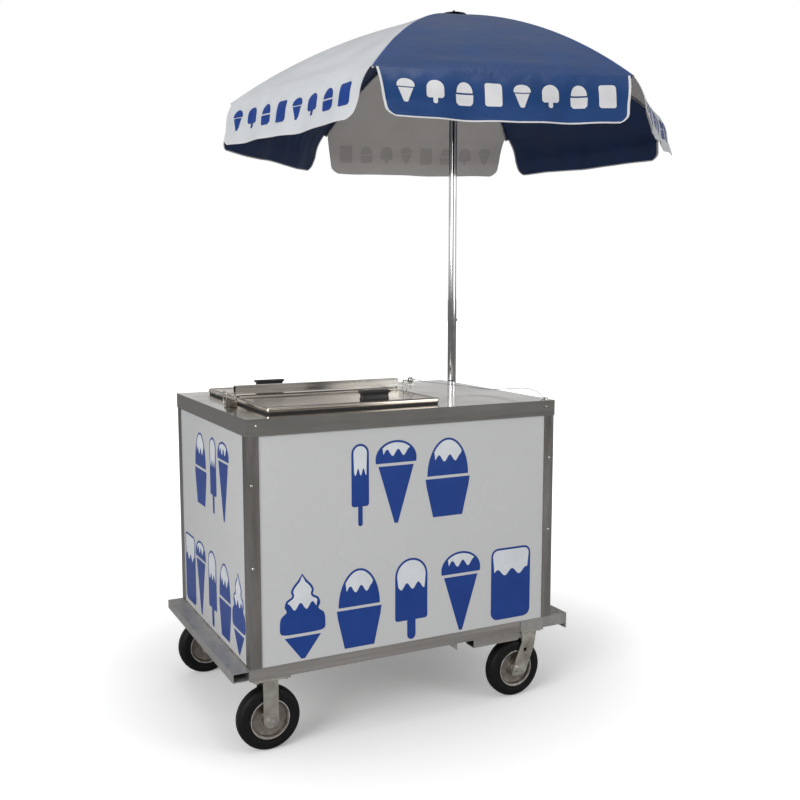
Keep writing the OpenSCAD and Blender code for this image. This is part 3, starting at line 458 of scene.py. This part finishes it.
def block(bm, lo, hi, edge, steps=2):
    """A block with its edges rounded over."""
    lo, hi = Vector(lo), Vector(hi)
    cube = bmesh.ops.create_cube(bm, size=1)["verts"]
    bmesh.ops.scale(bm, vec=hi - lo, verts=cube)
    bmesh.ops.translate(bm, vec=(lo + hi) / 2, verts=cube)
    edges = list(dict.fromkeys(e for v in cube for e in v.link_edges))
    bmesh.ops.bevel(bm, geom=edges, offset=edge, segments=steps, profile=0.5, affect="EDGES",
                    material=-1)


lid_steel = stock("lid_bright_steel", (0.56, 0.50, 0.43), (0.86, 0.79, 0.71), 0.19, 1.0, size=9,
                  stretch=(0.4, 3, 2), relief=0.05, band=(0.2, 0.8), gloss_swing=0.07, depth=0.0004)
seal_black = stock("seal_rubber", (0.006, 0.006, 0.006), (0.03, 0.03, 0.03), 0.62, size=120, relief=0.25)
lid_long, strip_half, lug_half = 0.604, 0.0235, 0.011
lug_at = (-0.44 * lid_long, 0.0, 0.44 * lid_long)
leaf_near, leaf_far = 0.0142, 0.0245
barrel_y, barrel_r, barrel_half = 0.016, 0.0039, 0.2915
z0, z1 = 1.051, 1.066
for name, body, flip in (("lid_front", "front_lid", 1), ("lid_rear", "rear_lid", -1)):
    lo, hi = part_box(name)
    mid_x = (lo.x + hi.x) / 2
    outer = lo.y if flip > 0 else hi.y
    inner = -flip * strip_half
    centre = (mid_x, (outer + inner) / 2)
    half_l, half_d = (hi.x - lo.x) / 2, abs(outer - inner) / 2
    bm = bmesh.new()
    rows = [(0.004, z0), (0.0012, z0 + 0.0008), (0.0, z0 + 0.003), (0.0, z1 - 0.0048),
            (0.0008, z1 - 0.0024), (0.0026, z1 - 0.0008), (0.0052, z1), (0.0125, z1),
            (0.0142, z1 - 0.0003), (0.0156, z1 - 0.0011), (0.0172, z1 - 0.0014), (0.06, z1 - 0.0011)]
    stacked(bm, [rounded_loop(bm, half_l - i, half_d - i, max(0.0106 - i * 0.5, 0.004), z, centre)
                 for i, z in rows])
    edges = [-half_l + 0.002] + [s * lug_half + x for x in lug_at for s in (-1, 1)] + [half_l - 0.002]
    for a, b in zip(edges[::2], edges[1::2]):
        y0, y1 = sorted((-flip * leaf_far, -flip * leaf_near))
        block(bm, (mid_x + a, y0, z0 + 0.001), (mid_x + b, y1, z1 - 0.0002), 0.0012)
        ends = (max(a, -barrel_half), min(b, barrel_half))
        bent_rod(bm, [(mid_x + e, -flip * barrel_y, z1) for e in ends], barrel_r, 20)
    lid = made(name + "_skin", bm, body, lid_steel)
    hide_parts(name)
show("gasket_front", seal_black, 0.0015, 3)
show("gasket_rear", seal_black, 0.0015, 3)
show("hinge_strip", lid_steel, 0.0005)


# ---- Lid handles ----
# Moulded black grips, screwed up through the lid: a waisted foot that flares to a dished top
# with a finger groove along each side.
grip_black = stock("grip_plastic", (0.010, 0.010, 0.011), (0.030, 0.029, 0.030), 0.42, size=220,
                   relief=0.25, gloss_swing=0.1, depth=0.0002)
for name, body in (("handle_front", "front_lid"), ("handle_rear", "rear_lid")):
    lo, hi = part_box(name)
    centre = ((lo.x + hi.x) / 2, (lo.y + hi.y) / 2)
    l, d, z = (hi.x - lo.x) / 2, (hi.y - lo.y) / 2, lo.z
    bm = bmesh.new()
    rows = [(l - 0.0065, d - 0.0030, -0.0012), (l - 0.0055, d - 0.0020, 0.0006),
            (l - 0.0060, d - 0.0024, 0.0030), (l - 0.0072, d - 0.0040, 0.0065),
            (l - 0.0072, d - 0.0048, 0.0125), (l - 0.0060, d - 0.0042, 0.0180),
            (l - 0.0030, d - 0.0016, 0.0212), (l - 0.0004, d, 0.0228), (l, d, 0.0258),
            (l - 0.0010, d - 0.0010, 0.0275), (l - 0.0035, d - 0.0035, 0.0280),
            (l - 0.0080, d - 0.0070, 0.0274), (l - 0.0160, d - 0.0105, 0.0266)]
    stacked(bm, [rounded_loop(bm, a, b, min(0.006, b * 0.6), z + c, centre, 5) for a, b, c in rows])
    grip = made(name + "_grip", bm, body, grip_black, sharp=50)
    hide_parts(name)


# ---- Lock bar, staples and lock pin ----
# A folded bar across both lids, pinned at its right end and padlocked at its left. The pin has
# a turned, knurled knob. The staples are bent round rod, welded to the deck.
bar_steel = stock("bar_stainless", (0.42, 0.40, 0.37), (0.72, 0.70, 0.66), 0.22, 1.0, size=12,
                  stretch=(0.2, 5, 5), relief=0.06, gloss_swing=0.07)
show("lock_bar", bar_steel, 0.0012, 3)
show("bar_staples", rivet_steel, 0)


def turned(bm, outline, centre, axis="Z", steps=48, finish=0):
    """A turned shape: an outline of (radius, height) spun round an axis through centre."""
    before = set(bm.verts)
    chain = [bm.verts.new((r, 0, h)) for r, h in outline]
    edges = [bm.edges.new((a, b)) for a, b in zip(chain, chain[1:])]
    bmesh.ops.spin(bm, geom=chain + edges, cent=(0, 0, 0), axis=(0, 0, 1), angle=math.tau,
                   steps=steps, use_merge=True)
    fresh = [v for v in bm.verts if v not in before]
    bmesh.ops.remove_doubles(bm, verts=fresh, dist=1e-7)
    fresh = [v for v in bm.verts if v not in before]
    turn = {"Z": Matrix.Identity(3), "X": Matrix.Rotation(math.radians(90), 3, "Y"),
            "Y": Matrix.Rotation(math.radians(-90), 3, "X")}[axis]
    bmesh.ops.rotate(bm, verts=fresh, cent=(0, 0, 0), matrix=turn)
    bmesh.ops.translate(bm, verts=fresh, vec=centre)
    for f in {f for v in fresh for f in v.link_faces}:
        f.material_index = finish


pin_lo, pin_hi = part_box("lock_pin")
pin_x, knob_z = 0.200, pin_hi.z - 0.0105
ridges, ridge_out, ferrule_z = 18, 0.0103, 1.095
bm = bmesh.new()
turned(bm, [(0, pin_lo.z), (0.0022, pin_lo.z), (0.003, pin_lo.z + 0.0012), (0.003, 1.0795),
            (0.0058, 1.0802), (0.006, 1.081), (0.006, 1.0845), (0.0048, 1.0852), (0.0046, 1.0858),
            (0.0082, knob_z - 0.0065), (0.0101, knob_z - 0.004), (0.0105, knob_z - 0.001),
            (0.0105, knob_z + 0.003), (0.0097, knob_z + 0.0065), (0.0072, knob_z + 0.0092),
            (0.0035, knob_z + 0.0103), (0, knob_z + 0.0105)], (pin_x, 0, 0), steps=36)
for k in range(ridges):
    a = math.tau * k / ridges
    x, y = pin_x + ridge_out * math.cos(a), ridge_out * math.sin(a)
    bent_rod(bm, [(x, y, knob_z - 0.0028), (x, y, knob_z + 0.0038)], 0.0007, 6)
bent_rod(bm, [(pin_x + out, 0, ferrule_z) for out in (0.008, 0.012, 0.0188)],
         [0.0021, 0.0026, 0.0024], 16)
pin = made("lock_pin_knob", bm, "cart", rivet_steel)
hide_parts("lock_pin")


# ---- Padlock ----
# A small laminated steel padlock hung on the left staple, lying on the deck. Pressed plates
# are riveted together and a hardened shackle closes into them.
lock_steel = stock("padlock_plates", (0.10, 0.09, 0.075), (0.30, 0.27, 0.23), 0.3, 0.9, size=70, relief=0.3)
lo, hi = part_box("padlock")
bm = bmesh.new()
plates, stack_deep = 7, 0.034
bow_r, bow_y = 0.007, -0.0162
face = lo.y + stack_deep
for k in range(plates):
    a, b = lo.y + stack_deep * k / plates, lo.y + stack_deep * (k + 1) / plates
    inset = 0.0006 if k % 2 else 0.0
    block(bm, (lo.x + inset, a, lo.z + inset), (hi.x - inset, b + 0.0002, hi.z - inset), 0.0009)
mid, mid_z = (lo.x + hi.x) / 2, (lo.z + hi.z) / 2
for x in (lo.x + 0.006, hi.x - 0.006):
    for z in (lo.z + 0.005, hi.z - 0.005):
        bent_rod(bm, [(x, face - 0.001, z), (x, face + 0.0008, z)], 0.0018, 10)
bow = [(mid - bow_r, face - 0.002, mid_z)]
bow += [(mid + bow_r * math.cos(a), bow_y + bow_r * math.sin(a), mid_z)
        for a in [math.pi - math.pi * i / 20 for i in range(21)]]
bow += [(mid + bow_r, face - 0.002, mid_z)]
bent_rod(bm, bow, 0.003, 14, finish=1)
padlock = made("padlock_laminated", bm, "padlock", lock_steel, rivet_steel)
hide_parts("padlock")


# ---- Casters ----
# Pressed and zinc plated forks: straight legs on the two rigid casters, raked legs under a
# ball race on the two that swivel. Axle bolts with hexagon heads pass through both legs.
zinc = stock("zinc_pressing", (0.36, 0.34, 0.29), (0.70, 0.67, 0.60), 0.38, 0.9, size=22, relief=0.2,
             gloss_swing=0.12, detail=9)
for node in ("rigid_forks", "swivel_plates", "swivel_fork_front", "swivel_fork_rear"):
    show(node, zinc, 0.0008, 2)
for node in ("rigid_axles", "swivel_axle_front", "swivel_axle_rear"):
    show(node, rivet_steel, 0.0006, 2)


# ---- Wheels ----
# Solid black rubber on a cast and turned hub. The tread is a little crowned with a fine groove
# at each shoulder, the hub's face is turned and has a bright ring near the rubber.
def turned_metal(name, dark, light, rough):
    return stock(name, dark, light, rough, 0.85, size=55, relief=0.15, gloss_swing=0.1, detail=9)


tread_black = stock("tread_rubber", (0.003, 0.003, 0.0033), (0.010, 0.0095, 0.009), 0.55, size=60,
                    relief=0.3, gloss_swing=0.12, detail=10)
tread_black.node_tree.nodes["Principled BSDF"].inputs["Specular IOR Level"].default_value = 0.22
hub_brown = turned_metal("hub_casting", (0.19, 0.165, 0.145), (0.40, 0.36, 0.32), 0.42)
hub_bright = turned_metal("hub_bright_ring", (0.75, 0.74, 0.72), (0.92, 0.91, 0.9), 0.3)
wheel_r, turn_steps = 0.1016, 96
tyre_outline = [(0.0628, -0.021), (0.0634, -0.0232), (0.066, -0.0246), (0.0700, -0.0250),
                (0.0720, -0.0240), (0.0740, -0.0250), (0.0820, -0.0253), (0.0890, -0.0243), (0.0945, -0.0215),
                (0.0978, -0.0178), (0.0984, -0.0166), (0.0996, -0.0160), (0.1008, -0.0120),
                (0.1014, -0.0060), (0.10155, 0.0)]
tyre_outline += [(r, -h) for r, h in reversed(tyre_outline[:-1])]
tyre_outline.append(tyre_outline[0])
hub_outline = [(0.0628, -0.0228), (0.0612, -0.0238), (0.0590, -0.0236), (0.0572, -0.0222),
               (0.0560, -0.0150), (0.0540, -0.0122), (0.0480, -0.0108), (0.0330, -0.0100),
               (0.0262, -0.0112), (0.0236, -0.0150), (0.0228, -0.0262), (0.0214, -0.0283),
               (0.0190, -0.0285), (0.0066, -0.0285), (0.00605, -0.0280)]
hub_outline += [(r, -h) for r, h in reversed(hub_outline)]
hub_outline.append(hub_outline[0])
for kind in ("rigid", "swivel"):
    for end in ("front", "rear"):
        body = "wheel_%s_%s" % (kind, end)
        lo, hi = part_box("tyre_%s_%s" % (kind, end))
        centre = Vector(((lo.x + hi.x) / 2, (lo.y + hi.y) / 2, wheel_r))
        bm = bmesh.new()
        turned(bm, tyre_outline, centre, "Y", turn_steps)
        tyre = made("tyre_rubber_%s_%s" % (kind, end), bm, body, tread_black, sharp=45)
        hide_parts("tyre_%s_%s" % (kind, end))
        bm = bmesh.new()
        turned(bm, hub_outline, centre, "Y", turn_steps)
        for s in (-1, 1):
            ring = [(0.0624 + 0.0013 * math.cos(a), s * 0.0238 + 0.0011 * math.sin(a))
                    for a in [math.tau * i / 8 for i in range(9)]]
            turned(bm, ring, centre, "Y", turn_steps, 1)
        hub = made("hub_turned_%s_%s" % (kind, end), bm, body, hub_brown, hub_bright, sharp=40)
        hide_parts("hub_%s_%s" % (kind, end))


# ---- Umbrella pole and frame ----
# Two chromed tubes that slide one in the other, a black runner and crown, and six plated ribs
# with flat stretchers riveted to them.
pole_chrome = stock("pole_chrome", (0.52, 0.52, 0.53), (0.80, 0.80, 0.81), 0.09, 1.0, size=16,
                    stretch=(1, 1, 0.4), relief=0.03, gloss_swing=0.04)
moulded_black = stock("umbrella_moulding", (0.008, 0.008, 0.009), (0.03, 0.03, 0.032), 0.4, size=90,
                      relief=0.2)
rib_steel = stock("rib_plating", (0.30, 0.30, 0.30), (0.58, 0.58, 0.57), 0.3, 1.0, size=40, relief=0.1)
show("pole_lower", pole_chrome, 0.0008, 3)
show("pole_upper", pole_chrome, 0)
show("runner", moulded_black, 0.0008, 2)
show("crown", moulded_black, 0.0008, 2)
for i in range(1, 7):
    show("rib_%d" % i, rib_steel, 0)
    show("stretcher_%d" % i, rib_steel, 0.0005, 1)


# ---- Umbrella cover ----
# Six gores of coated cloth, blue and white by turns, sewn together along the ribs and stretched
# by them. A deep flap hangs from each gore's edge, cut with round corners and bound in white.
pole = Vector((0.582, 0.365, 0.0))
first_rib = -137.0
root_r, root_z = 0.032, 2.484
tip_run, tip_fall, rib_bend = 0.838, 0.360, 25.0
rib_radius = math.hypot(tip_run, tip_fall) / (2 * math.sin(math.radians(rib_bend / 2)))
root_slope = math.degrees(math.atan2(tip_fall, tip_run)) - rib_bend / 2
mid_r = root_r - rib_radius * math.sin(math.radians(root_slope))
mid_z = root_z - rib_radius * math.cos(math.radians(root_slope))
start_slope = math.degrees(math.asin((0.0215 - mid_r) / rib_radius))
end_slope = root_slope + rib_bend + 0.15
over_rib = 0.0070
flap_drop, flap_lean = 0.175, math.radians(20)
flap_inset, flap_slant, corner_cut, bound_wide = 0.012, 0.025, 0.030, 0.008
seam_mid, seam_reach, seam_end = 0.006, 0.010, 0.0125
seam_proud, binding_proud, cloth_thick = 0.0007, 0.0006, 0.0008
mark_wide, mark_tall, mark_down, mark_pitch = 0.058, 0.078, 0.082, 0.11


def cloth(name, dark, light, rough, weave=0.12, crease=0.5):
    """Coated cloth: slow creases, a fine even weave, and a slightly uneven tone."""
    m = stock(name, dark, light, rough, size=7, relief=crease, band=(0.25, 0.75), detail=5, depth=0.006)
    t = m.node_tree
    where = t.nodes["Texture Coordinate"]
    threads = t.nodes.new("ShaderNodeTexVoronoi")
    threads.inputs["Scale"].default_value = 650
    t.links.new(where.outputs["Object"], threads.inputs["Vector"])
    fine = t.nodes.new("ShaderNodeBump")
    fine.inputs["Strength"].default_value = weave
    fine.inputs["Distance"].default_value = 0.0004
    t.links.new(threads.outputs["Distance"], fine.inputs["Height"])
    t.links.new(t.nodes["Bump"].outputs["Normal"], fine.inputs["Normal"])
    t.links.new(fine.outputs["Normal"], t.nodes["Principled BSDF"].inputs["Normal"])
    return m


blue_out = cloth("cover_blue", (0.003, 0.041, 0.155), (0.008, 0.057, 0.215), 0.34, crease=1.0)
blue_in = cloth("cover_blue_inside", (0.002, 0.022, 0.095), (0.004, 0.036, 0.145), 0.5)
white_out = cloth("cover_white", (0.66, 0.68, 0.71), (0.74, 0.76, 0.79), 0.46, crease=0.4)
white_in = cloth("cover_white_inside", (0.76, 0.72, 0.68), (0.86, 0.83, 0.80), 0.6, crease=0.35)
binding = cloth("white_binding", (0.66, 0.66, 0.68), (0.82, 0.82, 0.83), 0.6, weave=0.4, crease=0.1)
# Painted shadow: the darker grey that the treats cast through a white flap, seen on its inside.
painted_mark_shadow = cloth("painted_mark_shadow_inside", (0.62, 0.59, 0.56), (0.70, 0.67, 0.64), 0.6, crease=0.2)
seam_blue = cloth("seam_blue", (0.008, 0.040, 0.19), (0.018, 0.070, 0.28), 0.4, weave=0.5)
seam_white = cloth("seam_white", (0.50, 0.52, 0.55), (0.62, 0.64, 0.67), 0.5, weave=0.5)
cover_finishes = (blue_out, blue_in, white_out, white_in, binding, seam_blue, seam_white, mark_blue, painted_mark_shadow)
OUT_B, IN_B, OUT_W, IN_W, BIND, SEAM_B, SEAM_W, MARK_B, MARK_SHADOW_PAINT = range(9)


def along_rib(slope, off):
    """Distance from the pole and height of a point off a rib's middle line."""
    a = math.radians(slope)
    return mid_r + (rib_radius + off) * math.sin(a), mid_z + (rib_radius + off) * math.cos(a)


edge_length = along_rib(end_slope, over_rib)[0]


def on_cover(across, v, off, gore):
    """A point of the cover: across runs from 0 at a rib to 1 at the next rib of the gore."""
    slope = start_slope + (end_slope - start_slope) * v
    r, z = along_rib(slope, over_rib + off)
    a, b = math.radians(first_rib + 60 * gore), math.radians(first_rib + 60 * (gore + 1))
    p = Vector((math.cos(a), math.sin(a))).lerp(Vector((math.cos(b), math.sin(b))), across) * r
    hollow = math.sin(math.pi * across)
    sag = 0.006 * hollow * math.sin(math.pi * min(v * 0.9, 0.5)) * v
    pull = 0.010 * hollow * v ** 6
    crease = (0.0022 * math.sin(9 * v + 2.1 * gore) * math.sin(math.tau * 1.5 * across) * v
              + 0.0015 * math.sin(math.tau * 4 * across + 5 * v) * (1 - v) * v
              + 0.0012 * math.sin(31 * v + 9 * across + gore) * v * v) * hollow
    late = max(0.0, (v - 0.90) / 0.10)
    roll = 0.040 * late * (1 - late) * hollow
    run = p.normalized() if p.length > 1e-6 else p
    return Vector((pole.x + p.x - run.x * pull, pole.y + p.y - run.y * pull, z - sag + crease + roll))


def on_flap(across, drop, off, gore):
    """A point of a hanging flap, drop from 0 at the hem to 1 at its lower edge."""
    hem = on_cover(across, 1, 0, gore)
    m = math.radians(first_rib + 60 * gore + 30)
    out = Vector((math.cos(m), math.sin(m), 0))
    down = math.sin(flap_lean) * out - Vector((0, 0, 1)) * math.cos(flap_lean)
    skin = math.cos(flap_lean) * out + Vector((0, 0, 1)) * math.sin(flap_lean)
    wave = 0.0052 * drop * math.sin(math.tau * 2.3 * across + 1.7 * gore) \
        + 0.0022 * drop * math.sin(math.tau * 5.1 * across + 0.9 * gore)
    belly = 0.009 * math.sin(math.pi * min(1.0, drop * 1.6)) * (1 if drop < 0.625 else 0)
    pleat = 0.0016 * math.sin(math.tau * 11 * across + 2.5 * math.sin(9 * across + gore)) \
        * min(1.0, drop * 6) * (1 - drop) ** 1.5
    return hem + down * (flap_drop * drop) + skin * (off + wave + belly + pleat)


def sheet_of(bm, rows, outside, inside):
    """A thin closed sheet: rows of (outer point, inner point), with a finish for each cell."""
    top = [[bm.verts.new(a) for a, b in row] for row in rows]
    low = [[bm.verts.new(b) for a, b in row] for row in rows]
    n, m = len(rows), len(rows[0])
    for i in range(n - 1):
        for k in range(m - 1):
            f = bm.faces.new((top[i][k], top[i + 1][k], top[i + 1][k + 1], top[i][k + 1]))
            f.material_index = outside(i, k)
            f = bm.faces.new((low[i][k], low[i][k + 1], low[i + 1][k + 1], low[i + 1][k]))
            f.material_index = inside(i, k)
    rim = [(0, k) for k in range(m)] + [(i, m - 1) for i in range(1, n)] \
        + [(n - 1, k) for k in range(m - 2, -1, -1)] + [(i, 0) for i in range(n - 2, 0, -1)]
    for (i, k), (p, q) in zip(rim, rim[1:] + rim[:1]):
        f = bm.faces.new((top[i][k], top[p][q], low[p][q], low[i][k]))
        f.material_index = outside(min(i, p, n - 2), min(k, q, m - 2))


def flap_mark(bm, shapes, along, down, gore, finish, low=0.0006, high=0.0012):
    """Cut vinyl pressed on a flap: a flat shape, cross-cut finely and then laid on the cloth."""
    flat = bmesh.new()
    for outline in shapes:
        lay(flat, outline, lambda x, y, o: Vector((x, y, o)), low, high, finish)
    for k in range(-5, 6):
        for axis in ((1, 0, 0), (0, 1, 0)):
            geom = flat.verts[:] + flat.edges[:] + flat.faces[:]
            bmesh.ops.bisect_plane(flat, geom=geom, dist=1e-7, plane_co=[0.0095 * k * a for a in axis],
                                   plane_no=axis)
    bmesh.ops.triangulate(flat, faces=flat.faces[:])
    spots = {v: bm.verts.new(on_flap((along + v.co.x) / edge_length, (down - v.co.y) / flap_drop,
                                     v.co.z, gore)) for v in flat.verts}
    for f in flat.faces:
        bm.faces.new([spots[v] for v in f.verts]).material_index = finish
    flat.free()


def half_gore(bm, gore, far, plain, lining, seam):
    """Cloth from a rib to the gore's middle, with the felled seam standing proud on the rib."""
    down_steps, across_steps = 26, 16
    cells = [0.0, seam_mid, seam_end]
    cells += [seam_end + (0.5 - seam_end) * k / across_steps for k in range(1, across_steps + 1)]
    if far:
        cells = [1 - c for c in reversed(cells)]
    lifts = [seam_proud if min(c, 1 - c) < seam_reach else 0.0 for c in cells]
    rows = []
    for r in range(down_steps + 1):
        v = r / down_steps
        rows.append([(on_cover(c, v, lift, gore), on_cover(c, v, -cloth_thick, gore))
                     for c, lift in zip(cells, lifts)])
    seam_cells = (len(cells) - 3, len(cells) - 2) if far else (0, 1)
    sheet_of(bm, rows, lambda r, k: seam if k in seam_cells else plain, lambda r, k: lining)


def half_flap(bm, gore, far, plain, lining):
    """Half of a flap: it narrows downwards, its corner is round, and its edges are bound."""
    drop_steps, across_steps = 14, 36
    inset, band = flap_inset / edge_length, bound_wide / edge_length
    start, stop = (0.5, 1 - inset) if far else (inset, 0.5)
    drops = [0.0, 0.012] + [0.012 + 0.93 * k / drop_steps for k in range(1, drop_steps + 1)] + [0.972, 1.0]
    side_column = across_steps + 1 if far else 0
    rows = []
    for d in drops:
        slant = (flap_slant * d + corner_cut * max(0.0, (d - 0.80) / 0.2) ** 2.6) / edge_length
        low, high = (start, stop - slant) if far else (start + slant, stop)
        first = low if far else low + band
        across = [first + (high - low - band) * k / across_steps for k in range(across_steps + 1)]
        across = across + [high] if far else [low] + across
        row = []
        for k, u in enumerate(across):
            proud = binding_proud if d > 0.95 or k == side_column else 0.0
            row.append((on_flap(u, d, proud, gore), on_flap(u, d, -cloth_thick - proud, gore)))
        rows.append(row)
    hem_cell, side_cell = len(drops) - 2, across_steps if far else 0

    def bound(r, k):
        return r >= hem_cell or k == side_cell

    sheet_of(bm, rows, lambda r, k: BIND if bound(r, k) else plain,
             lambda r, k: BIND if bound(r, k) else lining)


def half_marks(bm, gore, far, blue):
    """Four treats on half a flap; on a white flap their shadows through the cloth are painted on its inside
    as well.
    """
    flap_row = [cone, lolly, tub, sandwich]
    for k, shape in enumerate(flap_row if far else reversed(flap_row)):
        from_middle = mark_pitch * (k + 0.5)
        along = edge_length * (0.5 + (from_middle if far else -from_middle))
        outline = shape(mark_wide, mark_tall)
        flap_mark(bm, outline, along, mark_down, gore, BIND if blue else MARK_B)
        if not blue:
            # The treat's painted shadow, laid just inside the white cloth.
            flap_mark(bm, outline, along, mark_down, gore, MARK_SHADOW_PAINT, -0.0013, -0.0010)


def one_side(bm):
    return sum(f.calc_area() for f in bm.faces) / 2


for i in range(6):
    bm = bmesh.new()
    cloth_area = 0.0
    for gore, far in (((i - 1) % 6, True), (i, False)):
        blue = gore % 2 == 0
        plain, lining, seam = (OUT_B, IN_B, SEAM_B) if blue else (OUT_W, IN_W, SEAM_W)
        area_before = one_side(bm)
        half_gore(bm, gore, far, plain, lining, seam)
        half_flap(bm, gore, far, plain, lining)
        cloth_area += one_side(bm) - area_before
        half_marks(bm, gore, far, blue)
    gore_piece = made("cover_%d" % (i + 1), bm, "rib_%d" % (i + 1), *cover_finishes, sharp=60)
    if i == 0:
        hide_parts("canopy")
    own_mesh(gore_piece)


# ---- Floor and light ----
# A pale paper floor, clear from below. Camera rays see it glow, white further off and weaker
# round the cart as a painted shadow; reflections and bounced light see plain grey paper. One big soft panel
# stands high on the left, a weaker one in front on the right and one overhead.
# The room is dim at eye level, so that the steel has tone to mirror.
bm = bmesh.new()
bmesh.ops.create_grid(bm, x_segments=1, y_segments=1, size=30)
bmesh.ops.translate(bm, verts=bm.verts, vec=(0, 0, -0.0004))
floor_mesh = bpy.data.meshes.new("floor")
bm.to_mesh(floor_mesh)
bm.free()
floor = bpy.data.objects.new("floor", floor_mesh)
scene.collection.objects.link(floor)
floor_paper = stock("floor_paper", (0.46, 0.46, 0.46), (0.50, 0.50, 0.50), 0.8, size=2, relief=0.0)
t = floor_paper.node_tree
dim = t.nodes["Principled BSDF"]
dim.inputs["Specular IOR Level"].default_value = 0.0
# The paper that camera rays see: it glows, so its brightness is painted rather than lit.
glowing_paper = t.nodes.new("ShaderNodeBsdfPrincipled")
glowing_paper.inputs["Base Color"].default_value = (0.96, 0.96, 0.96, 1)
glowing_paper.inputs["Roughness"].default_value = 0.9
glowing_paper.inputs["Specular IOR Level"].default_value = 0.0
glowing_paper.inputs["Emission Color"].default_value = (1, 1, 1, 1)
spread = t.nodes.new("ShaderNodeVectorMath")
spread.operation = "LENGTH"
t.links.new(t.nodes["Texture Coordinate"].outputs["Object"], spread.inputs[0])
# Painted shadow: the glow is weakest round the cart and rises to full white from 0.4 m to 2.3 m off the
# middle.
painted_shadow_ramp = t.nodes.new("ShaderNodeMapRange")
painted_shadow_ramp.interpolation_type = "SMOOTHSTEP"
painted_shadow_ramp.inputs["From Min"].default_value = 0.4
painted_shadow_ramp.inputs["From Max"].default_value = 2.3
painted_shadow_ramp.inputs["To Min"].default_value = 0.20
painted_shadow_ramp.inputs["To Max"].default_value = 1.0
t.links.new(spread.outputs["Value"], painted_shadow_ramp.inputs["Value"])
t.links.new(painted_shadow_ramp.outputs["Result"], glowing_paper.inputs["Emission Strength"])
eyed = t.nodes.new("ShaderNodeLightPath")
either = t.nodes.new("ShaderNodeMixShader")
t.links.new(eyed.outputs["Is Camera Ray"], either.inputs["Fac"])
t.links.new(dim.outputs["BSDF"], either.inputs[1])
t.links.new(glowing_paper.outputs["BSDF"], either.inputs[2])
side = t.nodes.new("ShaderNodeNewGeometry")
clear = t.nodes.new("ShaderNodeBsdfTransparent")
one_way = t.nodes.new("ShaderNodeMixShader")
t.links.new(side.outputs["Backfacing"], one_way.inputs["Fac"])
t.links.new(either.outputs["Shader"], one_way.inputs[1])
t.links.new(clear.outputs["BSDF"], one_way.inputs[2])
t.links.new(one_way.outputs["Shader"], t.nodes["Material Output"].inputs["Surface"])
floor_mesh.materials.append(floor_paper)


def soft_panel(name, place, target, width, height, power):
    """A flat lamp turned from its place towards a target."""
    data = bpy.data.lights.new(name, "AREA")
    data.shape = "RECTANGLE"
    data.size = width
    data.size_y = height
    data.energy = power
    lamp = bpy.data.objects.new(name, data)
    lamp.location = place
    lamp.rotation_euler = (Vector(target) - Vector(place)).to_track_quat("-Z", "Y").to_euler()
    scene.collection.objects.link(lamp)


soft_panel("key", (-4.6, -2.7, 2.7), (0.0, 0, 1.0), 2.8, 2.2, 150)
soft_panel("fill", (3.4, -4.2, 2.3), (0.2, 0, 0.9), 2.4, 2.4, 52)
soft_panel("top", (-0.4, -0.6, 5.6), (0.2, 0.1, 0.6), 2.6, 2.2, 30)

world = bpy.data.worlds.new("room")
scene.world = world
world.use_nodes = True
t = world.node_tree
sky = t.nodes["Background"]
where = t.nodes.new("ShaderNodeTexCoord")
split = t.nodes.new("ShaderNodeSeparateXYZ")
t.links.new(where.outputs["Generated"], split.inputs["Vector"])
height = t.nodes.new("ShaderNodeMapRange")
height.inputs["From Min"].default_value = -0.25
height.inputs["From Max"].default_value = 0.9
t.links.new(split.outputs["Z"], height.inputs["Value"])
tone = t.nodes.new("ShaderNodeValToRGB")
ramp = tone.color_ramp
ramp.elements[0].position, ramp.elements[0].color = 0.0, (0.30, 0.30, 0.30, 1)
ramp.elements[1].position, ramp.elements[1].color = 1.0, (0.50, 0.50, 0.51, 1)
for at, g in ((0.20, 0.20), (0.235, 0.80), (0.33, 0.62), (0.44, 0.20), (0.62, 0.24), (0.80, 0.42)):
    e = ramp.elements.new(at)
    e.color = (g, g, g * 0.99, 1)
t.links.new(height.outputs["Result"], tone.inputs["Fac"])
back = t.nodes.new("ShaderNodeMix")
back.data_type = "RGBA"
seen = t.nodes.new("ShaderNodeLightPath")
t.links.new(seen.outputs["Is Camera Ray"], back.inputs["Factor"])
t.links.new(tone.outputs["Color"], back.inputs["A"])
back.inputs["B"].default_value = (1, 1, 1, 1)
t.links.new(back.outputs["Result"], sky.inputs["Color"])
sky.inputs["Strength"].default_value = 1.0
scene.view_settings.view_transform = "Standard"
